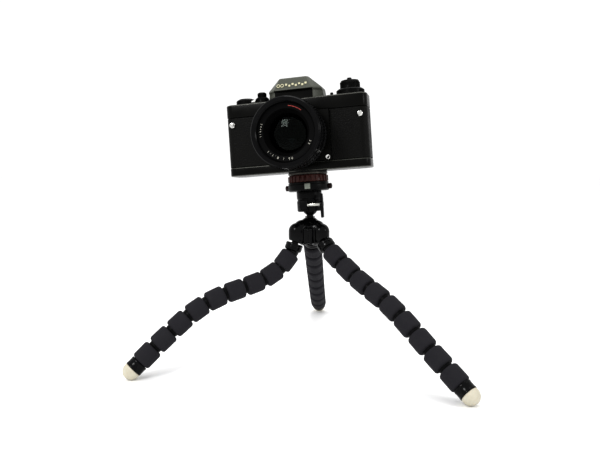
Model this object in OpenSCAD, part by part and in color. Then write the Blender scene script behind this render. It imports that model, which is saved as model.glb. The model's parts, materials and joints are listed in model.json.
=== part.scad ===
// Single-lens reflex film camera on a small flexible tripod.
// Millimetres, +Z up. The origin is on the ground, midway between the outermost points of the feet.

/* [Tripod legs] */
// Height of the leg pivots above the ground
pivot_height = 119.5; // [112:0.5:150]
// Distance between the ball joints along a leg
link_pitch = 20; // [19:0.5:26]
// Outside diameter of the foam rings
foam_d = 19; // [18.6:0.2:24]
// Gap between two foam rings
foam_gap = 2.8; // [2.8:0.1:4]
// Radius of the rounded foam edges
foam_round = 2.6; // [2:0.1:2.8]
// Diameter of the leg's ball joints
link_ball_d = 9.6; // [9:0.1:10.4]
// Length of the collar that joins a leg to the hub
collar_l = 15; // [14:0.5:20]
// Diameter of the collar
collar_d = 17; // [15:0.5:19]
// Diameter of the rubber feet
foot_d = 16; // [13:0.5:20]
// Visible length of the end cap behind each foot
cap_l = 8; // [5:0.5:14]

/* [Leg pose] */
// Compass directions of the left, right and rear legs
leg_turn = [204.8, 313, 85.8]; // [0:0.1:360]
// Slopes of the left leg's collar and nine rings, in degrees below horizontal
left_slopes = [70, 50, 30, 16, 14, 21, 31, 39, 40, 42]; // [0:1:80]
// Slopes of the right leg's collar and nine rings
right_slopes = [45, 36, 33, 28, 26, 33, 38, 38, 37, 37]; // [0:1:80]
// Slopes of the rear leg's collar and nine rings
rear_slopes = [40, 33, 33, 33, 32, 35, 32, 32, 29, 26]; // [0:1:80]

/* [Hub] */
// Distance of the leg pivots from the hub's axis
pivot_offset = 14; // [13.5:0.5:20]
// Direction of the hub's rear lobe
hub_turn = 81; // [0:1:119]
// Diameter of the hub's leg balls
hub_ball_d = 11.2; // [10:0.2:12]
// Diameter of each lobe
lobe_d = 16.4; // [15.4:0.2:20]
// Height of the hub's top face above the leg pivots
hub_rise = 19.5; // [17:0.5:30]

/* [Head] */
// Diameter of the head's ball
ball_d = 15.2; // [13:0.2:17]
// Height of the ball's centre above the hub's top face
ball_rise = 9.5; // [9:0.5:16]
// Diameter of the clamp housing
clamp_d = 24.8; // [23.4:0.2:32]
// Height of the quick-release base's underside above the ball's centre
clamp_rise = 16.5; // [15.5:0.5:26]
// Turn of the head about the vertical
head_pan = -13; // [-180:1:180]
// Sideways lean of the head
head_roll = -4.6; // [-15:0.1:15]
// Backward lean of the head
head_pitch = -3.6; // [-12:0.1:12]

/* [Quick release] */
// Diameter of the quick-release base
base_d = 41; // [36:0.5:60]
// Height of the base
base_h = 8.5; // [7.5:0.5:12]
// Height of the ribbed locking ring
ring_h = 7; // [5:0.5:10]
// Thickness of the camera plate
plate_h = 2; // [1.5:0.25:4]
// Thickness of the rubber pad on the plate
pad_h = 1; // [0.5:0.25:2]

/* [Camera body] */
// Sideways shift of the camera's middle from its tripod screw
camera_shift = -6; // [-10:0.5:10]
// Width of the camera body
body_w = 140; // [134:1:170]
// Thickness of the camera body
body_t = 33; // [32:0.5:42]
// Radius of the body's upright corners
corner_r = 8; // [6:0.5:10]
// Height of the bottom cover
bottom_h = 8.5; // [7:0.5:12]
// Height of the chassis between the covers
chassis_h = 48.5; // [46:0.5:60]
// Height of the top cover
top_h = 13; // [10:0.5:18]
// Thickness of the leatherette
skin_t = 0.6; // [0.4:0.1:1]
// Wall of the covers
cover_wall = 1.2; // [0.8:0.1:2]
// Thickness of the hinged back
door_t = 3; // [2.5:0.25:4]
// Height of the prism housing
prism_h = 21; // [20:0.5:30]
// Width of the prism housing at its foot
prism_w = 55; // [50:0.5:60]
// Width of the prism housing at its top
prism_top_w = 29; // [24:0.5:36]

/* [Lens] */
// Outside diameter of the focusing ring
lens_d = 67; // [65:0.5:76]
// Distance of the lens's front rim from the front of the body
lens_l = 43.5; // [42:0.5:70]
// Diameter of the filter thread
filter_d = 55; // [49:0.5:56]
// Diameter of the sliding optical cell
cell_d = 47.4; // [45:0.2:48]
// Travel of the optical cell when focusing
focus_travel = 7; // [4:0.5:10]

/* [Controls] */
// Diameter of the rewind knob
knob_d = 20; // [16:0.5:24]
// Height of the rewind knob
knob_h = 7.7; // [6:0.1:12]
// Diameter of the film-speed collar
speed_collar_d = 28; // [22:0.5:29]
// Height of the film-speed collar
speed_collar_h = 6.4; // [4:0.1:9]
// Diameter of the shutter-speed dial
dial_d = 14; // [12:0.5:14.5]
// Diameter of the film-advance lever's hub
advance_d = 20; // [16:0.5:20.5]

/* [Hidden] */
$fn = 64;

// Clearances: running fit, ball joint, and the gap round loose pieces
fit = 0.1;
ball_fit = 0.08;
loose = 0.3;
past = 1;            // how far a cut runs past the face that it opens

// --- leg geometry ---
slopes = [left_slopes, right_slopes, rear_slopes];
// The gap between foam rings never closes at the sharpest bend of the three legs
sharpest = max([for (s = slopes) for (k = [1:len(s) - 1]) abs(s[k] - s[k - 1])]);
bent_gap = 2 * ((foam_round + fit + (foam_d / 2 - foam_round) * sin(sharpest / 2))
    / cos(sharpest / 2) - foam_round);
ring_gap = max(foam_gap, bent_gap);
lobe_turn = [hub_turn + 120, hub_turn + 240, hub_turn];
ring_count = 9;
foot_r = foot_d / 2;
foot_collar = 2;     // straight part of the foot behind its dome
foot_reach = cap_l - 1 + foot_collar;
function link_l(k) = k == 0 ? collar_l : k <= ring_count ? link_pitch : foot_reach;
function drawn_slope(leg, k) = slopes[leg][min(k, ring_count)];
function run(leg, k = 0) = k > ring_count + 1 ? 0
    : link_l(k) * cos(drawn_slope(leg, k)) + run(leg, k + 1);
function drop(leg, k = 0) = k > ring_count + 1 ? 0
    : link_l(k) * sin(drawn_slope(leg, k)) + drop(leg, k + 1);
// The whole leg turns about its hub pivot by this much, so that its foot just meets the ground
function settle(leg) = asin((pivot_height - foot_r) / norm([run(leg), drop(leg)]))
    - atan2(drop(leg), run(leg));
function slope(leg, k) = drawn_slope(leg, k) + settle(leg);
function heading(leg, k) = [cos(slope(leg, k)) * cos(leg_turn[leg]),
    cos(slope(leg, k)) * sin(leg_turn[leg]), -sin(slope(leg, k))];
// Pivots relative to the hub's axis on the ground; pivot 0 is in the hub, the last is in the foot
function pivot(leg, k) = k == 0
    ? [pivot_offset * cos(lobe_turn[leg]), pivot_offset * sin(lobe_turn[leg]), pivot_height]
    : pivot(leg, k - 1) + link_l(k - 1) * heading(leg, k - 1);
feet = [for (leg = [0:2]) pivot(leg, ring_count + 2)];
hub_at = [for (axis = [0:1]) -(max([for (f = feet) f[axis]]) + min([for (f = feet) f[axis]])) / 2];

// --- link sections ---
link_ball_r = link_ball_d / 2;
neck_r = link_ball_r * 0.5625;
socket_r = link_ball_r + 1.7;
bore_r = socket_r + 0.15;
tube_r = bore_r - 0.05;
flex = 22;           // widest bend at one ball joint
opening = asin(neck_r / link_ball_r) + flex + 2;
hub_ball_r = hub_ball_d / 2;
hub_neck_r = hub_ball_r * 0.6;
lobe_r = lobe_d / 2;
collar_start = 6;
swing = 18;          // sideways swing of a collar in the hub

// --- head heights above the ball's centre ---
hub_top = pivot_height + hub_rise;
ball_z = hub_top + ball_rise;
ball_r = ball_d / 2;
seat_r = ball_r + 1.3;
lip_drop = 3.5;
ring_z = clamp_rise + base_h;
plate_z = ring_z + ring_h + 0.5;
camera_z = plate_z + plate_h + pad_h;
base_r = base_d / 2;
screw_at = [0, -(clamp_d / 2 - 0.2), 3];   // clamp screw, front of the housing
button_z = clamp_rise + base_h * 0.45;
button_press = 2;
stem_r = 3.2;

// --- camera heights above its underside ---
chassis_z = bottom_h;
cover_z = chassis_z + chassis_h;
deck_z = cover_z + top_h;
half_w = body_w / 2;
half_t = body_t / 2;
door_y = half_t - door_t;                  // inner face of the back
hinge_at = [-(half_w - 2.7), half_t - 1.5];
hinge_r = 1.5;
lens_z = chassis_z + chassis_h * 0.526;
plate_front = -(half_t + 4);               // front of the plate behind the lens
mount_front = plate_front - 1.5;
throat_r = 21;
rim_front = -(half_t + lens_l - 0.5);
ring_split = mount_front - 9.5;            // between aperture ring and focusing ring
cell_back = rim_front + 10;                // rear of the front rim
barrel_r = lens_d / 2 - 4;
// The lens release stays outside the lens, whatever the lens's size
release_r = 2.4;
release_z = chassis_z + 3;
release_reach = lens_d / 2 + release_r + loose;
release_x = max(31, sqrt(max(0, pow(release_reach, 2) - pow(lens_z - release_z, 2))));
plate_left = 28.8;                         // plate behind the lens, from the lens's axis
plate_right = release_x + 3;
cell_r = cell_d / 2;
rewind_x = half_w - 17;
advance_at = [-(half_w - 17.1), 1];
dial_at = [-(half_w - 34.7), -1];
button_at = [-(half_w - 28), -9.5];
switch_at = [half_w - 37, -3];
cassette_r = 13;
gate = [36, 24];
gate_y = door_y - 3;

// ---------- helpers ----------
module rounded(w, d, r) {
    square([w - 2 * r, d], center = true);
    square([w, d - 2 * r], center = true);
    for (x = [-1, 1]) for (y = [-1, 1]) translate([x * (w / 2 - r), y * (d / 2 - r)]) circle(r);
}

module disc(r, z0, z1) translate([0, 0, z0]) cylinder(r = r, h = z1 - z0);

module ring(r_out, r_in, z0, z1) difference() {
    disc(r_out, z0, z1);
    disc(r_in, z0 - past, z1 + past);
}

// A ribbed ring: n half-round ribs stand on a ring, or on a solid disc where r_in is 0
module ribbed(r, n, rib, z0, z1, r_in) translate([0, 0, z0]) difference() {
    linear_extrude(z1 - z0) {
        circle(r - rib * 0.5);
        for (i = [0:n - 1]) rotate(i * 360 / n) translate([r - rib, 0]) circle(rib, $fn = 16);
    }
    if (r_in > 0) translate([0, 0, -past]) cylinder(r = r_in, h = z1 - z0 + 2 * past);
}

// Lens pieces are drawn along +Z and turned to face forward from the body, z = -y
module forward() translate([0, 0, lens_z]) rotate([90, 0, 0]) children();

module at_head() translate([hub_at.x, hub_at.y, ball_z]) rotate([0, 0, head_pan])
    rotate([0, head_roll, 0]) rotate([head_pitch, 0, 0]) children();

module at_camera() at_head() translate([camera_shift, 0, camera_z]) children();

module at_pivot(leg, k) translate([hub_at.x, hub_at.y, 0] + pivot(leg, k))
    rotate([0, 90 + slope(leg, k), leg_turn[leg]]) children();

// ---------- tripod ----------
// Half-plane right of the axis, for sections that are turned about Z
module half_section(z0, z1) intersection() {
    children();
    translate([0, z0]) square([60, z1 - z0]);
}

module mouth(r, angle) polygon([[0, 0], [2 * r * sin(angle), 2 * r * cos(angle)], [0, 3 * r]]);

module socket_end(l) difference() {
    union() {
        translate([0, l]) circle(socket_r);
        children();
    }
    translate([0, l]) circle(link_ball_r + ball_fit);
    translate([0, l]) mouth(socket_r, opening);
}

module link_start() {
    circle(link_ball_r);
    square([neck_r, socket_r + past]);
    difference() {
        translate([0, 3]) square([tube_r, link_pitch - 9]);
        circle(socket_r + 0.25);
    }
}

module link() rotate_extrude() half_section(-link_ball_r, link_pitch + socket_r)
    socket_end(link_pitch) link_start();

module foam_ring() {
    lo = ring_gap / 2;
    l = link_pitch - ring_gap;
    r = foam_d / 2;
    color("#2c2c2f") rotate_extrude() {
        translate([bore_r, lo]) square([r - foam_round - bore_r, l]);
        intersection() {
            union() {
                translate([bore_r, lo + foam_round]) square([r - bore_r, l - 2 * foam_round]);
                for (y = [lo + foam_round, lo + l - foam_round])
                    translate([r - foam_round, y]) circle(foam_round);
            }
            translate([bore_r, 0]) square([r, link_pitch]);
        }
    }
}

module end_link() rotate_extrude() half_section(-link_ball_r, link_pitch + foot_reach) {
    link_start();
    translate([0, 12]) square([tube_r, link_pitch - 11.5]);
    translate([0, link_pitch - 1]) square([foot_r + 0.4, cap_l]);
    translate([0, link_pitch]) square([3, cap_l + 3]);
}

module collar(leg) color("#101012") at_pivot(leg, 0) rotate_extrude()
    half_section(-hub_ball_r, collar_l + socket_r) socket_end(collar_l) {
        circle(hub_ball_r);
        square([hub_neck_r, lobe_r + 2]);
        difference() {
            union() {
                translate([0, collar_start + 1]) square([collar_d / 2, collar_l - collar_start - 3.4]);
                translate([0, collar_start]) square([collar_d / 2 - 1, collar_l - collar_start - 1.4]);
            }
            circle(lobe_r + loose);
        }
    }

// Rings first to last of one leg, each a foam ring on its own ball link
module section(leg, first, last) for (k = [first:last]) at_pivot(leg, k) {
    color("#131315") {
        if (k == ring_count) end_link(); else link();
    }
    foam_ring();
}

module foot(leg) color("#e9e7dc") at_pivot(leg, ring_count) translate([0, 0, link_pitch - 1 + cap_l])
    difference() {
        union() {
            cylinder(r = foot_r, h = foot_collar);
            translate([0, 0, foot_collar]) sphere(foot_r);
        }
        translate([0, 0, -foot_d]) cylinder(r = foot_d, h = foot_d);
        translate([0, 0, -past]) cylinder(r = 3 + fit, h = past + 4 + fit);
    }

module leg_hub() color("#17171a") translate([hub_at.x, hub_at.y, 0]) difference() {
    union() {
        translate([0, 0, pivot_height - 4.5]) cylinder(r = pivot_offset - 0.5, h = 12.5);
        translate([0, 0, pivot_height + 8])
            cylinder(r1 = pivot_offset - 0.5, r2 = 8.5, h = hub_rise - 11);
        translate([0, 0, hub_top - 3]) cylinder(r = 8.5, h = 3);
        for (leg = [0:2]) translate(pivot(leg, 0)) {
            cylinder(r = lobe_r, h = 6);
            sphere(lobe_r);
            translate([0, 0, 6]) sphere(lobe_r);
        }
        for (lobe = lobe_turn) for (i = [-1:1]) rotate(lobe + 60 + 14 * i)
            translate([pivot_offset, 0, pivot_height - 3.5]) {
                cylinder(r = 1.1, h = 11, $fn = 24);
                translate([0, 0, 11]) sphere(1.1, $fn = 24);
            }
    }
    for (leg = [0:2]) translate(pivot(leg, 0)) {
        sphere(hub_ball_r + ball_fit);
        rotate([0, 90 + slope(leg, 0), leg_turn[leg]])
            cylinder(r1 = 0, r2 = 2 * lobe_r * tan(asin(hub_neck_r / hub_ball_r) + swing + 3),
                h = 2 * lobe_r);
    }
    translate([0, 0, hub_top - 9]) cylinder(r = stem_r - 0.2 + fit, h = 9 + past);
}

// ---------- head ----------
module ball_stud() color("#1b1b1d") translate([hub_at.x, hub_at.y, 0]) rotate(head_pan) {
    translate([0, 0, hub_top - 8.5]) cylinder(r = stem_r - 0.2, h = 9);
    translate([0, 0, hub_top + 0.15]) cylinder(r = 5, h = 0.85);
    translate([0, 0, hub_top + 0.5]) cylinder(r = stem_r, h = ball_rise - 1);
    translate([0, 0, ball_z]) sphere(ball_r);
}

// Split liner between ball and housing; it follows the ball's sideways tilt
module ball_seat() color("#55565a") at_head() rotate_extrude()
    intersection() {
        difference() {
            circle(seat_r);
            circle(ball_r + ball_fit);
        }
        translate([1.5, -2.5]) square([seat_r, seat_r + 2.5]);
    }

module ball_clamp() color("#1a1a1c") at_head() difference() {
    union() {
        disc(clamp_d / 2, -lip_drop, clamp_rise - 8);
        disc(clamp_d / 2 - 0.5, clamp_rise - 8, clamp_rise);
        translate([-7, screw_at.y - 3.2, screw_at.z - 4.5]) cube([7.5, 8, 9]);
    }
    sphere(seat_r + fit);
    disc(sqrt(pow(seat_r + fit, 2) - pow(lip_drop, 2)), -lip_drop - past, -lip_drop + 1);
    translate([0.5, -clamp_d, -clamp_d]) cube([clamp_d, clamp_d - seat_r - 1, clamp_d + 7.5]);
    translate([-5, screw_at.y, screw_at.z]) rotate([0, 90, 0]) cylinder(r = 2 + fit, h = 8);
    translate([0, 0, seat_r - 1]) cylinder(r = 2.5, h = clamp_rise);
}

module clamp_screw() color("#c9c9c4") at_head() translate(screw_at) rotate([0, 90, 0])
    translate([0, 0, -4.5]) cylinder(r = 2, h = clamp_d / 2 + 5.2);

module clamp_lever() color("#161618") at_head()
    translate([clamp_d / 2 + 0.4, screw_at.y, screw_at.z]) difference() {
        rotate([0, 90, 0]) union() {
            cylinder(r = 3.6, h = 3.4);
            linear_extrude(2.6) {
                translate([-8, -2.6]) square([19, 5.2]);
                translate([-8, 0]) circle(2.6);
                translate([11, 0]) circle(2.6);
            }
        }
        translate([-past, 0, 0]) rotate([0, 90, 0]) cylinder(r = 2 + 0.02, h = past + 1.4);
    }

module release_base() color("#1c1c1e") at_head() difference() {
    union() {
        disc(base_r, clamp_rise, clamp_rise + base_h - 1.5);
        disc(base_r - 1, clamp_rise + base_h - 1.5, ring_z);
        disc(15, ring_z - 1, ring_z + ring_h - 1);
        translate([0, -base_r - 0.6, clamp_rise + 1.2]) cube([6, 4, base_h - 2.4]);
    }
    disc(13.5, clamp_rise + 3, ring_z + ring_h);
    for (x = [-1, 1]) translate([0, 0, button_z]) rotate([0, 90 * x, 0]) {
        translate([0, 0, base_r - 5.5]) cylinder(r = 2.7 + fit, h = 8);
    }
}

module lock_ring() color("#4a3330") at_head()
    ribbed(base_r - 0.6, 40, 1.1, ring_z + 0.1, ring_z + ring_h + 0.1, 15.2);

module release_plate() color("#2a2a2c") at_head() difference() {
    union() {
        disc(base_r - 1.2, plate_z, plate_z + plate_h);
        disc(13.2, ring_z + 0.5, plate_z + 0.5);
    }
    disc(3.3, clamp_rise, camera_z);
    disc(9, ring_z, plate_z - 2);
}

module plate_pad() color("#37373a") at_head()
    ring(base_r - 1.7, 3.4, plate_z + plate_h, plate_z + plate_h + pad_h);

module camera_screw() color("#b8b8b2") at_head() {
    disc(3.1, plate_z - 3, camera_z + 5.5);
    difference() {
        disc(8.6, plate_z - 5, plate_z - 2.1);
        translate([-9, -0.9, plate_z - 5.5]) cube([18, 1.8, 1.7]);
    }
}

module release_button(side) color("#5a2a28") at_head() translate([0, 0, button_z])
    rotate([0, 90 * side, 0]) {
        translate([0, 0, base_r - 3.2]) cylinder(r = 2.7, h = 5.6);
        translate([0, 0, base_r + 2.4]) cylinder(r1 = 2.7, r2 = 2.1, h = 0.8);
    }

// ---------- camera shells ----------
module shell(z0, z1, inset) translate([0, 0, z0]) linear_extrude(z1 - z0)
    rounded(body_w - 2 * inset, body_t - 2 * inset, corner_r - inset);

module front_of_door(z0, z1) translate([-body_w, -body_t, z0])
    cube([2 * body_w, body_t + door_y - fit, z1 - z0]);

module bottom_cover() color("#1d1d1b") at_camera() difference() {
    union() {
        difference() {
            shell(0, bottom_h, 0);
            shell(cover_wall, bottom_h + past, cover_wall);
        }
        translate([-camera_shift, 0, 0]) disc(6.5, 0, bottom_h);
        for (x = [-1, 1]) translate([x * (half_w - 22), 0, 0]) disc(3, 0, bottom_h);
    }
    translate([-camera_shift, 0, 0]) disc(3.175, -past, 7);
}

module camera_body() color("#202020") at_camera() difference() {
    intersection() {
        shell(chassis_z, cover_z, skin_t);
        front_of_door(chassis_z, cover_z);
    }
    // cassette chamber and take-up chamber, open to the back
    for (c = [[rewind_x, cassette_r], [advance_at.x, 12]]) {
        translate([c[0], 0.5, chassis_z + 2]) cylinder(r = c[1], h = chassis_h - 4);
        translate([c[0] - c[1], 0.5, chassis_z + 2]) cube([2 * c[1], body_t, chassis_h - 4]);
    }
    // rear recess of the film path
    translate([-(half_w - 31), gate_y, chassis_z + 5]) cube([2 * half_w - 61, body_t, chassis_h - 10]);
    // mirror box, film gate and throat
    translate([-19.5, -half_t - past, chassis_z + 5]) cube([39, half_t + gate_y - 1.5, chassis_h]);
    translate([-gate.x / 2, 0, lens_z - gate.y / 2]) cube([gate.x, half_t, gate.y]);
    translate([rewind_x, 0.5, cover_z - 5]) cylinder(r = fork_r + loose, h = 10);
    translate([hinge_at.x, hinge_at.y, chassis_z - past]) cylinder(r = hinge_r + loose, h = body_t * 3);
    translate([release_x, 0, 0]) release_bore();
}

module leatherette() color("#262624") at_camera() difference() {
    intersection() {
        shell(chassis_z + 0.4, cover_z - 0.4, 0.2);
        front_of_door(chassis_z, cover_z);
    }
    shell(0, deck_z, skin_t);
    translate([-plate_left - 0.2, -body_t, 0]) cube([plate_left + plate_right + 0.4, body_t, deck_z]);
    translate([hinge_at.x, hinge_at.y, 0]) cylinder(r = hinge_r + loose, h = deck_z);
    for (x = [-1, 1]) translate([x * (half_w - 7), 0, cover_z - 7]) rotate([90, 0, 0])
        cylinder(r = 2.9, h = body_t);
}

module top_cover() color("#1d1d1b") at_camera() difference() {
    shell(cover_z, deck_z, 0);
    shell(cover_z - past, deck_z - cover_wall, cover_wall);
    translate([-21, -13, cover_z]) cube([42, 26, top_h + past]);
    translate([rewind_x, 0.5, cover_z]) cylinder(r = 3 + fit, h = top_h + past);
    translate([advance_at.x, advance_at.y, cover_z]) cylinder(r = 3 + fit, h = top_h + past);
    translate([dial_at.x, dial_at.y, cover_z]) cylinder(r = 2 + fit, h = top_h + past);
    translate([button_at.x, button_at.y, cover_z]) cylinder(r = 2.6 + fit, h = top_h + past);
    translate([switch_at.x, switch_at.y, cover_z]) cylinder(r = 1.5 + fit, h = top_h + past);
}

// Outside of the prism housing, drawn smaller by inset for its hollow
module prism_form(inset) intersection() {
    rotate([90, 0, 0]) linear_extrude(2 * body_t, center = true) polygon([
        [-prism_w / 2 + inset, deck_z - past * sign(inset)], [-prism_w / 2 + 1 + inset, deck_z + prism_h / 2],
        [-prism_top_w / 2 + inset / 2, deck_z + prism_h - inset],
        [prism_top_w / 2 - inset / 2, deck_z + prism_h - inset],
        [prism_w / 2 - 1 - inset, deck_z + prism_h / 2], [prism_w / 2 - inset, deck_z - past * sign(inset)]]);
    rotate([90, 0, 90]) linear_extrude(2 * prism_w, center = true) polygon([
        [-half_t + 2.5 + inset, deck_z - past * sign(inset)], [-half_t + 2.5 + inset, deck_z + 7.5 + inset],
        [-half_t - 0.5 + inset, deck_z + 9 + inset], [-half_t + 3.5 + inset, deck_z + prism_h - inset],
        [half_t - 8 - inset, deck_z + prism_h - inset], [half_t - inset, deck_z + 12],
        [half_t - inset, deck_z - past * sign(inset)]]);
    translate([0, 0, deck_z - body_t]) linear_extrude(3 * body_t) polygon([
        [-19 + inset, -half_t - 0.5], [19 - inset, -half_t - 0.5], [prism_w / 2 - inset, -half_t + 10],
        [prism_w / 2 - inset, half_t - 5], [16 - inset, half_t], [-16 + inset, half_t],
        [-prism_w / 2 + inset, half_t - 5], [-prism_w / 2 + inset, -half_t + 10]]);
}

module prism_cover() color("#6e7069") at_camera() difference() {
    prism_form(0);
    prism_form(cover_wall);
    translate([-9, half_t - 6, deck_z + 3]) cube([18, 10, 11]);
}

module eyepiece() color("#141414") at_camera() translate([0, half_t, deck_z + 8.5]) rotate([-90, 0, 0])
    difference() {
        translate([0, 0, -1]) linear_extrude(4.5) rounded(17.8, 10.8, 2);
        translate([0, 0, -past - 1]) linear_extrude(8) rounded(14, 8, 1.5);
    }

module back_door() color("#20201e") at_camera() {
    difference() {
        intersection() {
            shell(chassis_z + 0.3, cover_z - 0.3, 0.2);
            translate([hinge_at.x, door_y, 0]) cube([body_w, body_t, deck_z]);
        }
        translate([-14, door_y - past, lens_z - 9]) cube([28, past + 0.8, 18]);
    }
    translate([hinge_at.x, hinge_at.y, chassis_z + 0.3]) cylinder(r = hinge_r, h = chassis_h - 0.6);
}

module pressure_plate() color("#2c2c2c") at_camera() {
    translate([-27, door_y - 2.2, lens_z - 16]) cube([54, 1.2, 32]);
    for (x = [-1, 1]) translate([x * 18, door_y - 1.2, lens_z]) rotate([-90, 0, 0]) cylinder(r = 2, h = 1.2);
}

// ---------- lens and mirror ----------
module release_bore() translate([0, plate_front - past, release_z]) rotate([-90, 0, 0])
    cylinder(r = release_r + fit, h = 8);

module lens_mount() color("#191919") at_camera() {
    difference() {
        translate([-plate_left, plate_front, chassis_z + 0.3])
            cube([plate_left + plate_right, -plate_front - half_t + skin_t, chassis_h - 0.6]);
        forward() translate([0, 0, half_t - 4]) cylinder(r = throat_r, h = 20);
        translate([release_x, 0, 0]) release_bore();
    }
    forward() ring(28.5, throat_r, -plate_front, -mount_front);
}

module lens_release_button() color("#cfcfca") at_camera()
    translate([release_x, plate_front - 2.4, release_z]) rotate([-90, 0, 0])
    cylinder(r = release_r, h = 4.4);

mirror_hinge = [0, gate_y - 4, lens_z + 13];
module mirror() color("#9fa3a6") at_camera() translate(mirror_hinge) rotate([45, 0, 0]) {
    translate([-17.5, -21.5, -0.6]) cube([35, 20.5, 1.2]);
    rotate([0, 90, 0]) translate([0, 0, -17.5]) cylinder(r = 1.2, h = 35);
}

module lens_barrel() color("#151515") at_camera() forward() {
    ring(barrel_r + 2, cell_r + 0.15, -mount_front, -mount_front + 2.4);
    ring(barrel_r, cell_r + 0.15, -mount_front + 2, -cell_back - 0.6);
}

module aperture_ring() color("#1a1a1a") at_camera() forward()
    ribbed(lens_d / 2 - 1, 48, 1, -mount_front + 2.7, -ring_split - 0.3, barrel_r + 0.15);

module focus_ring() color("#141414") at_camera() forward()
    ribbed(lens_d / 2, 60, 1, -ring_split + 0.3, -cell_back - 0.5, barrel_r + 0.15);

module front_cell() color("#111111") at_camera() forward() difference() {
    union() {
        disc(lens_d / 2 - 0.8, -cell_back, -rim_front);
        disc(cell_r, -mount_front + 6, -cell_back + 1);
    }
    disc(filter_d / 2, -rim_front - 4.5, -rim_front + past);
    translate([0, 0, -cell_back - 4]) cylinder(r1 = 18.2, r2 = filter_d / 2 - 1, h = 9.6);
    disc(18.2, -cell_back - 9, -cell_back - 3.9);
    disc(15, -mount_front + 5, -cell_back - 8.9);
}

// Front and rear elements, each bounded by two spheres
module element(r, bulge, z) rotate_extrude() intersection() {
    translate([0, z - bulge]) square([r, 2 * bulge]);
    translate([0, z - (r * r + bulge * bulge) / (2 * bulge) + bulge])
        circle((r * r + bulge * bulge) / (2 * bulge), $fn = 256);
    translate([0, z + (r * r + bulge * bulge) / (2 * bulge) - bulge])
        circle((r * r + bulge * bulge) / (2 * bulge), $fn = 256);
}

module lens_glass() color("#4b5b66") at_camera() forward() {
    element(18, 3.5, -cell_back - 5);
    element(14.8, 2.5, -mount_front + 10);
}

// ---------- camera controls ----------
shaft_r = 3;
fork = [7.2, 1.6];
fork_r = norm(fork) / 2;
module rewind_shaft() color("#b9b9b4") at_camera() translate([rewind_x, 0.5, 0]) {
    disc(shaft_r, cover_z - 6, deck_z + speed_collar_h + knob_h - 3);
    disc(1.4, cover_z - 12, cover_z - 5.5);
    translate([-fork.x / 2, -fork.y / 2, cover_z - 12]) cube([fork.x, fork.y, 4]);
}

module film_speed_collar() color("#1a1a1a") at_camera() translate([rewind_x, 0.5, 0])
    ribbed(speed_collar_d / 2, 44, 0.8, deck_z + 0.1, deck_z + speed_collar_h, shaft_r + 0.2);

knob_z = deck_z + speed_collar_h + 0.2;
module rewind_knob() color("#161616") at_camera() translate([rewind_x, 0.5, 0]) difference() {
    union() {
        ribbed(knob_d / 2, 36, 0.7, knob_z, knob_z + knob_h - 1.2, shaft_r + 0.05);
        ring(knob_d / 2 - 0.9, shaft_r + 0.05, knob_z + knob_h - 1.4, knob_z + knob_h);
    }
    translate([-2.8, -1.9, knob_z + knob_h - 2.5]) cube([knob_d, 3.8, 4]);
}

crank_hinge = knob_d / 2 - 3;
module rewind_crank() color("#1d1d1d") at_camera()
    translate([rewind_x + crank_hinge, 0.5, knob_z + knob_h - 1]) {
        rotate([90, 0, 0]) cylinder(r = 1.1, h = 3.4, center = true);
        translate([-crank_hinge - 2.2, -1.7, 0]) cube([crank_hinge + 2.2, 3.4, 1.1]);
        translate([-crank_hinge - 0.4, 0, 0.1]) cylinder(r = 1.6, h = 3.8);
        translate([-crank_hinge - 0.4, 0, 1.15]) cylinder(r = 2.3, h = 2.75);
    }

module shutter_dial() color("#181818") at_camera() translate([dial_at.x, dial_at.y, 0]) {
    disc(2, deck_z - 4, deck_z + 1);
    ribbed(dial_d / 2, 36, 0.7, deck_z + 0.15, deck_z + 6.5, 0);
    ribbed(dial_d / 2 - 2.5, 24, 0.6, deck_z + 6.4, deck_z + 11.5, 0);
}

module shutter_button() color("#1f1f1f") at_camera() translate([button_at.x, button_at.y, 0])
    difference() {
        union() {
            disc(2.6, deck_z - 4, deck_z + 2.6);
            disc(2.1, deck_z + 2.5, deck_z + 3.2);
        }
        disc(1.1, deck_z - 1, deck_z + 4);
    }

arm_l = 15;
// The arm runs along the back edge of the camera and swings out past its end
module advance_lever() color("#171717") at_camera() translate([advance_at.x, advance_at.y, 0]) {
    disc(3, deck_z - 4, deck_z + 1);
    ribbed(advance_d / 2, 32, 0.7, deck_z + 0.15, deck_z + 6.8, 0);
    translate([0, 0, deck_z + 1.2]) linear_extrude(2.4) difference() {
        union() {
            translate([0, advance_d / 2 - 3.5]) square([arm_l, 5]);
            translate([arm_l, advance_d / 2 - 1]) circle(2.5);
            translate([arm_l, advance_d / 2 - 3.5]) rotate(30) translate([0, 0.5]) square([6, 4.2]);
        }
        circle(advance_d / 2 - 1.5);
    }
}

module meter_switch() color("#141414") at_camera() translate([switch_at.x, switch_at.y, 0]) {
    disc(1.5, deck_z - 3, deck_z + 1);
    disc(4, deck_z + 0.15, deck_z + 1.8);
    translate([2.2, 0, deck_z + 1.5]) cylinder(r = 1.5, h = 2.8);
}

module takeup_spool() color("#202020") at_camera() translate([advance_at.x, 0.5, 0]) difference() {
    union() {
        disc(7, chassis_z + 3, cover_z - 3);
        disc(10, chassis_z + 3, chassis_z + 5);
        disc(10, cover_z - 5, cover_z - 3);
    }
    disc(2.5, chassis_z, cover_z);
    for (i = [0:3]) rotate(90 * i) translate([4, -0.6, chassis_z + 9]) cube([5, 1.2, chassis_h - 18]);
}

module strap_lugs() color("#d4d4cf") at_camera() for (x = [-1, 1])
    translate([x * (half_w - 7), -half_t + skin_t, cover_z - 7]) rotate([90, 0, 0]) difference() {
        union() {
            cylinder(r = 2.7, h = 1.2);
            cylinder(r = 1.6, h = 3.4);
            translate([0, 0, 2.8]) cylinder(r = 2.3, h = 1.2);
        }
        translate([0, -5, 2.1]) rotate([-90, 0, 0]) cylinder(r = 0.6, h = 10);
    }

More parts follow.
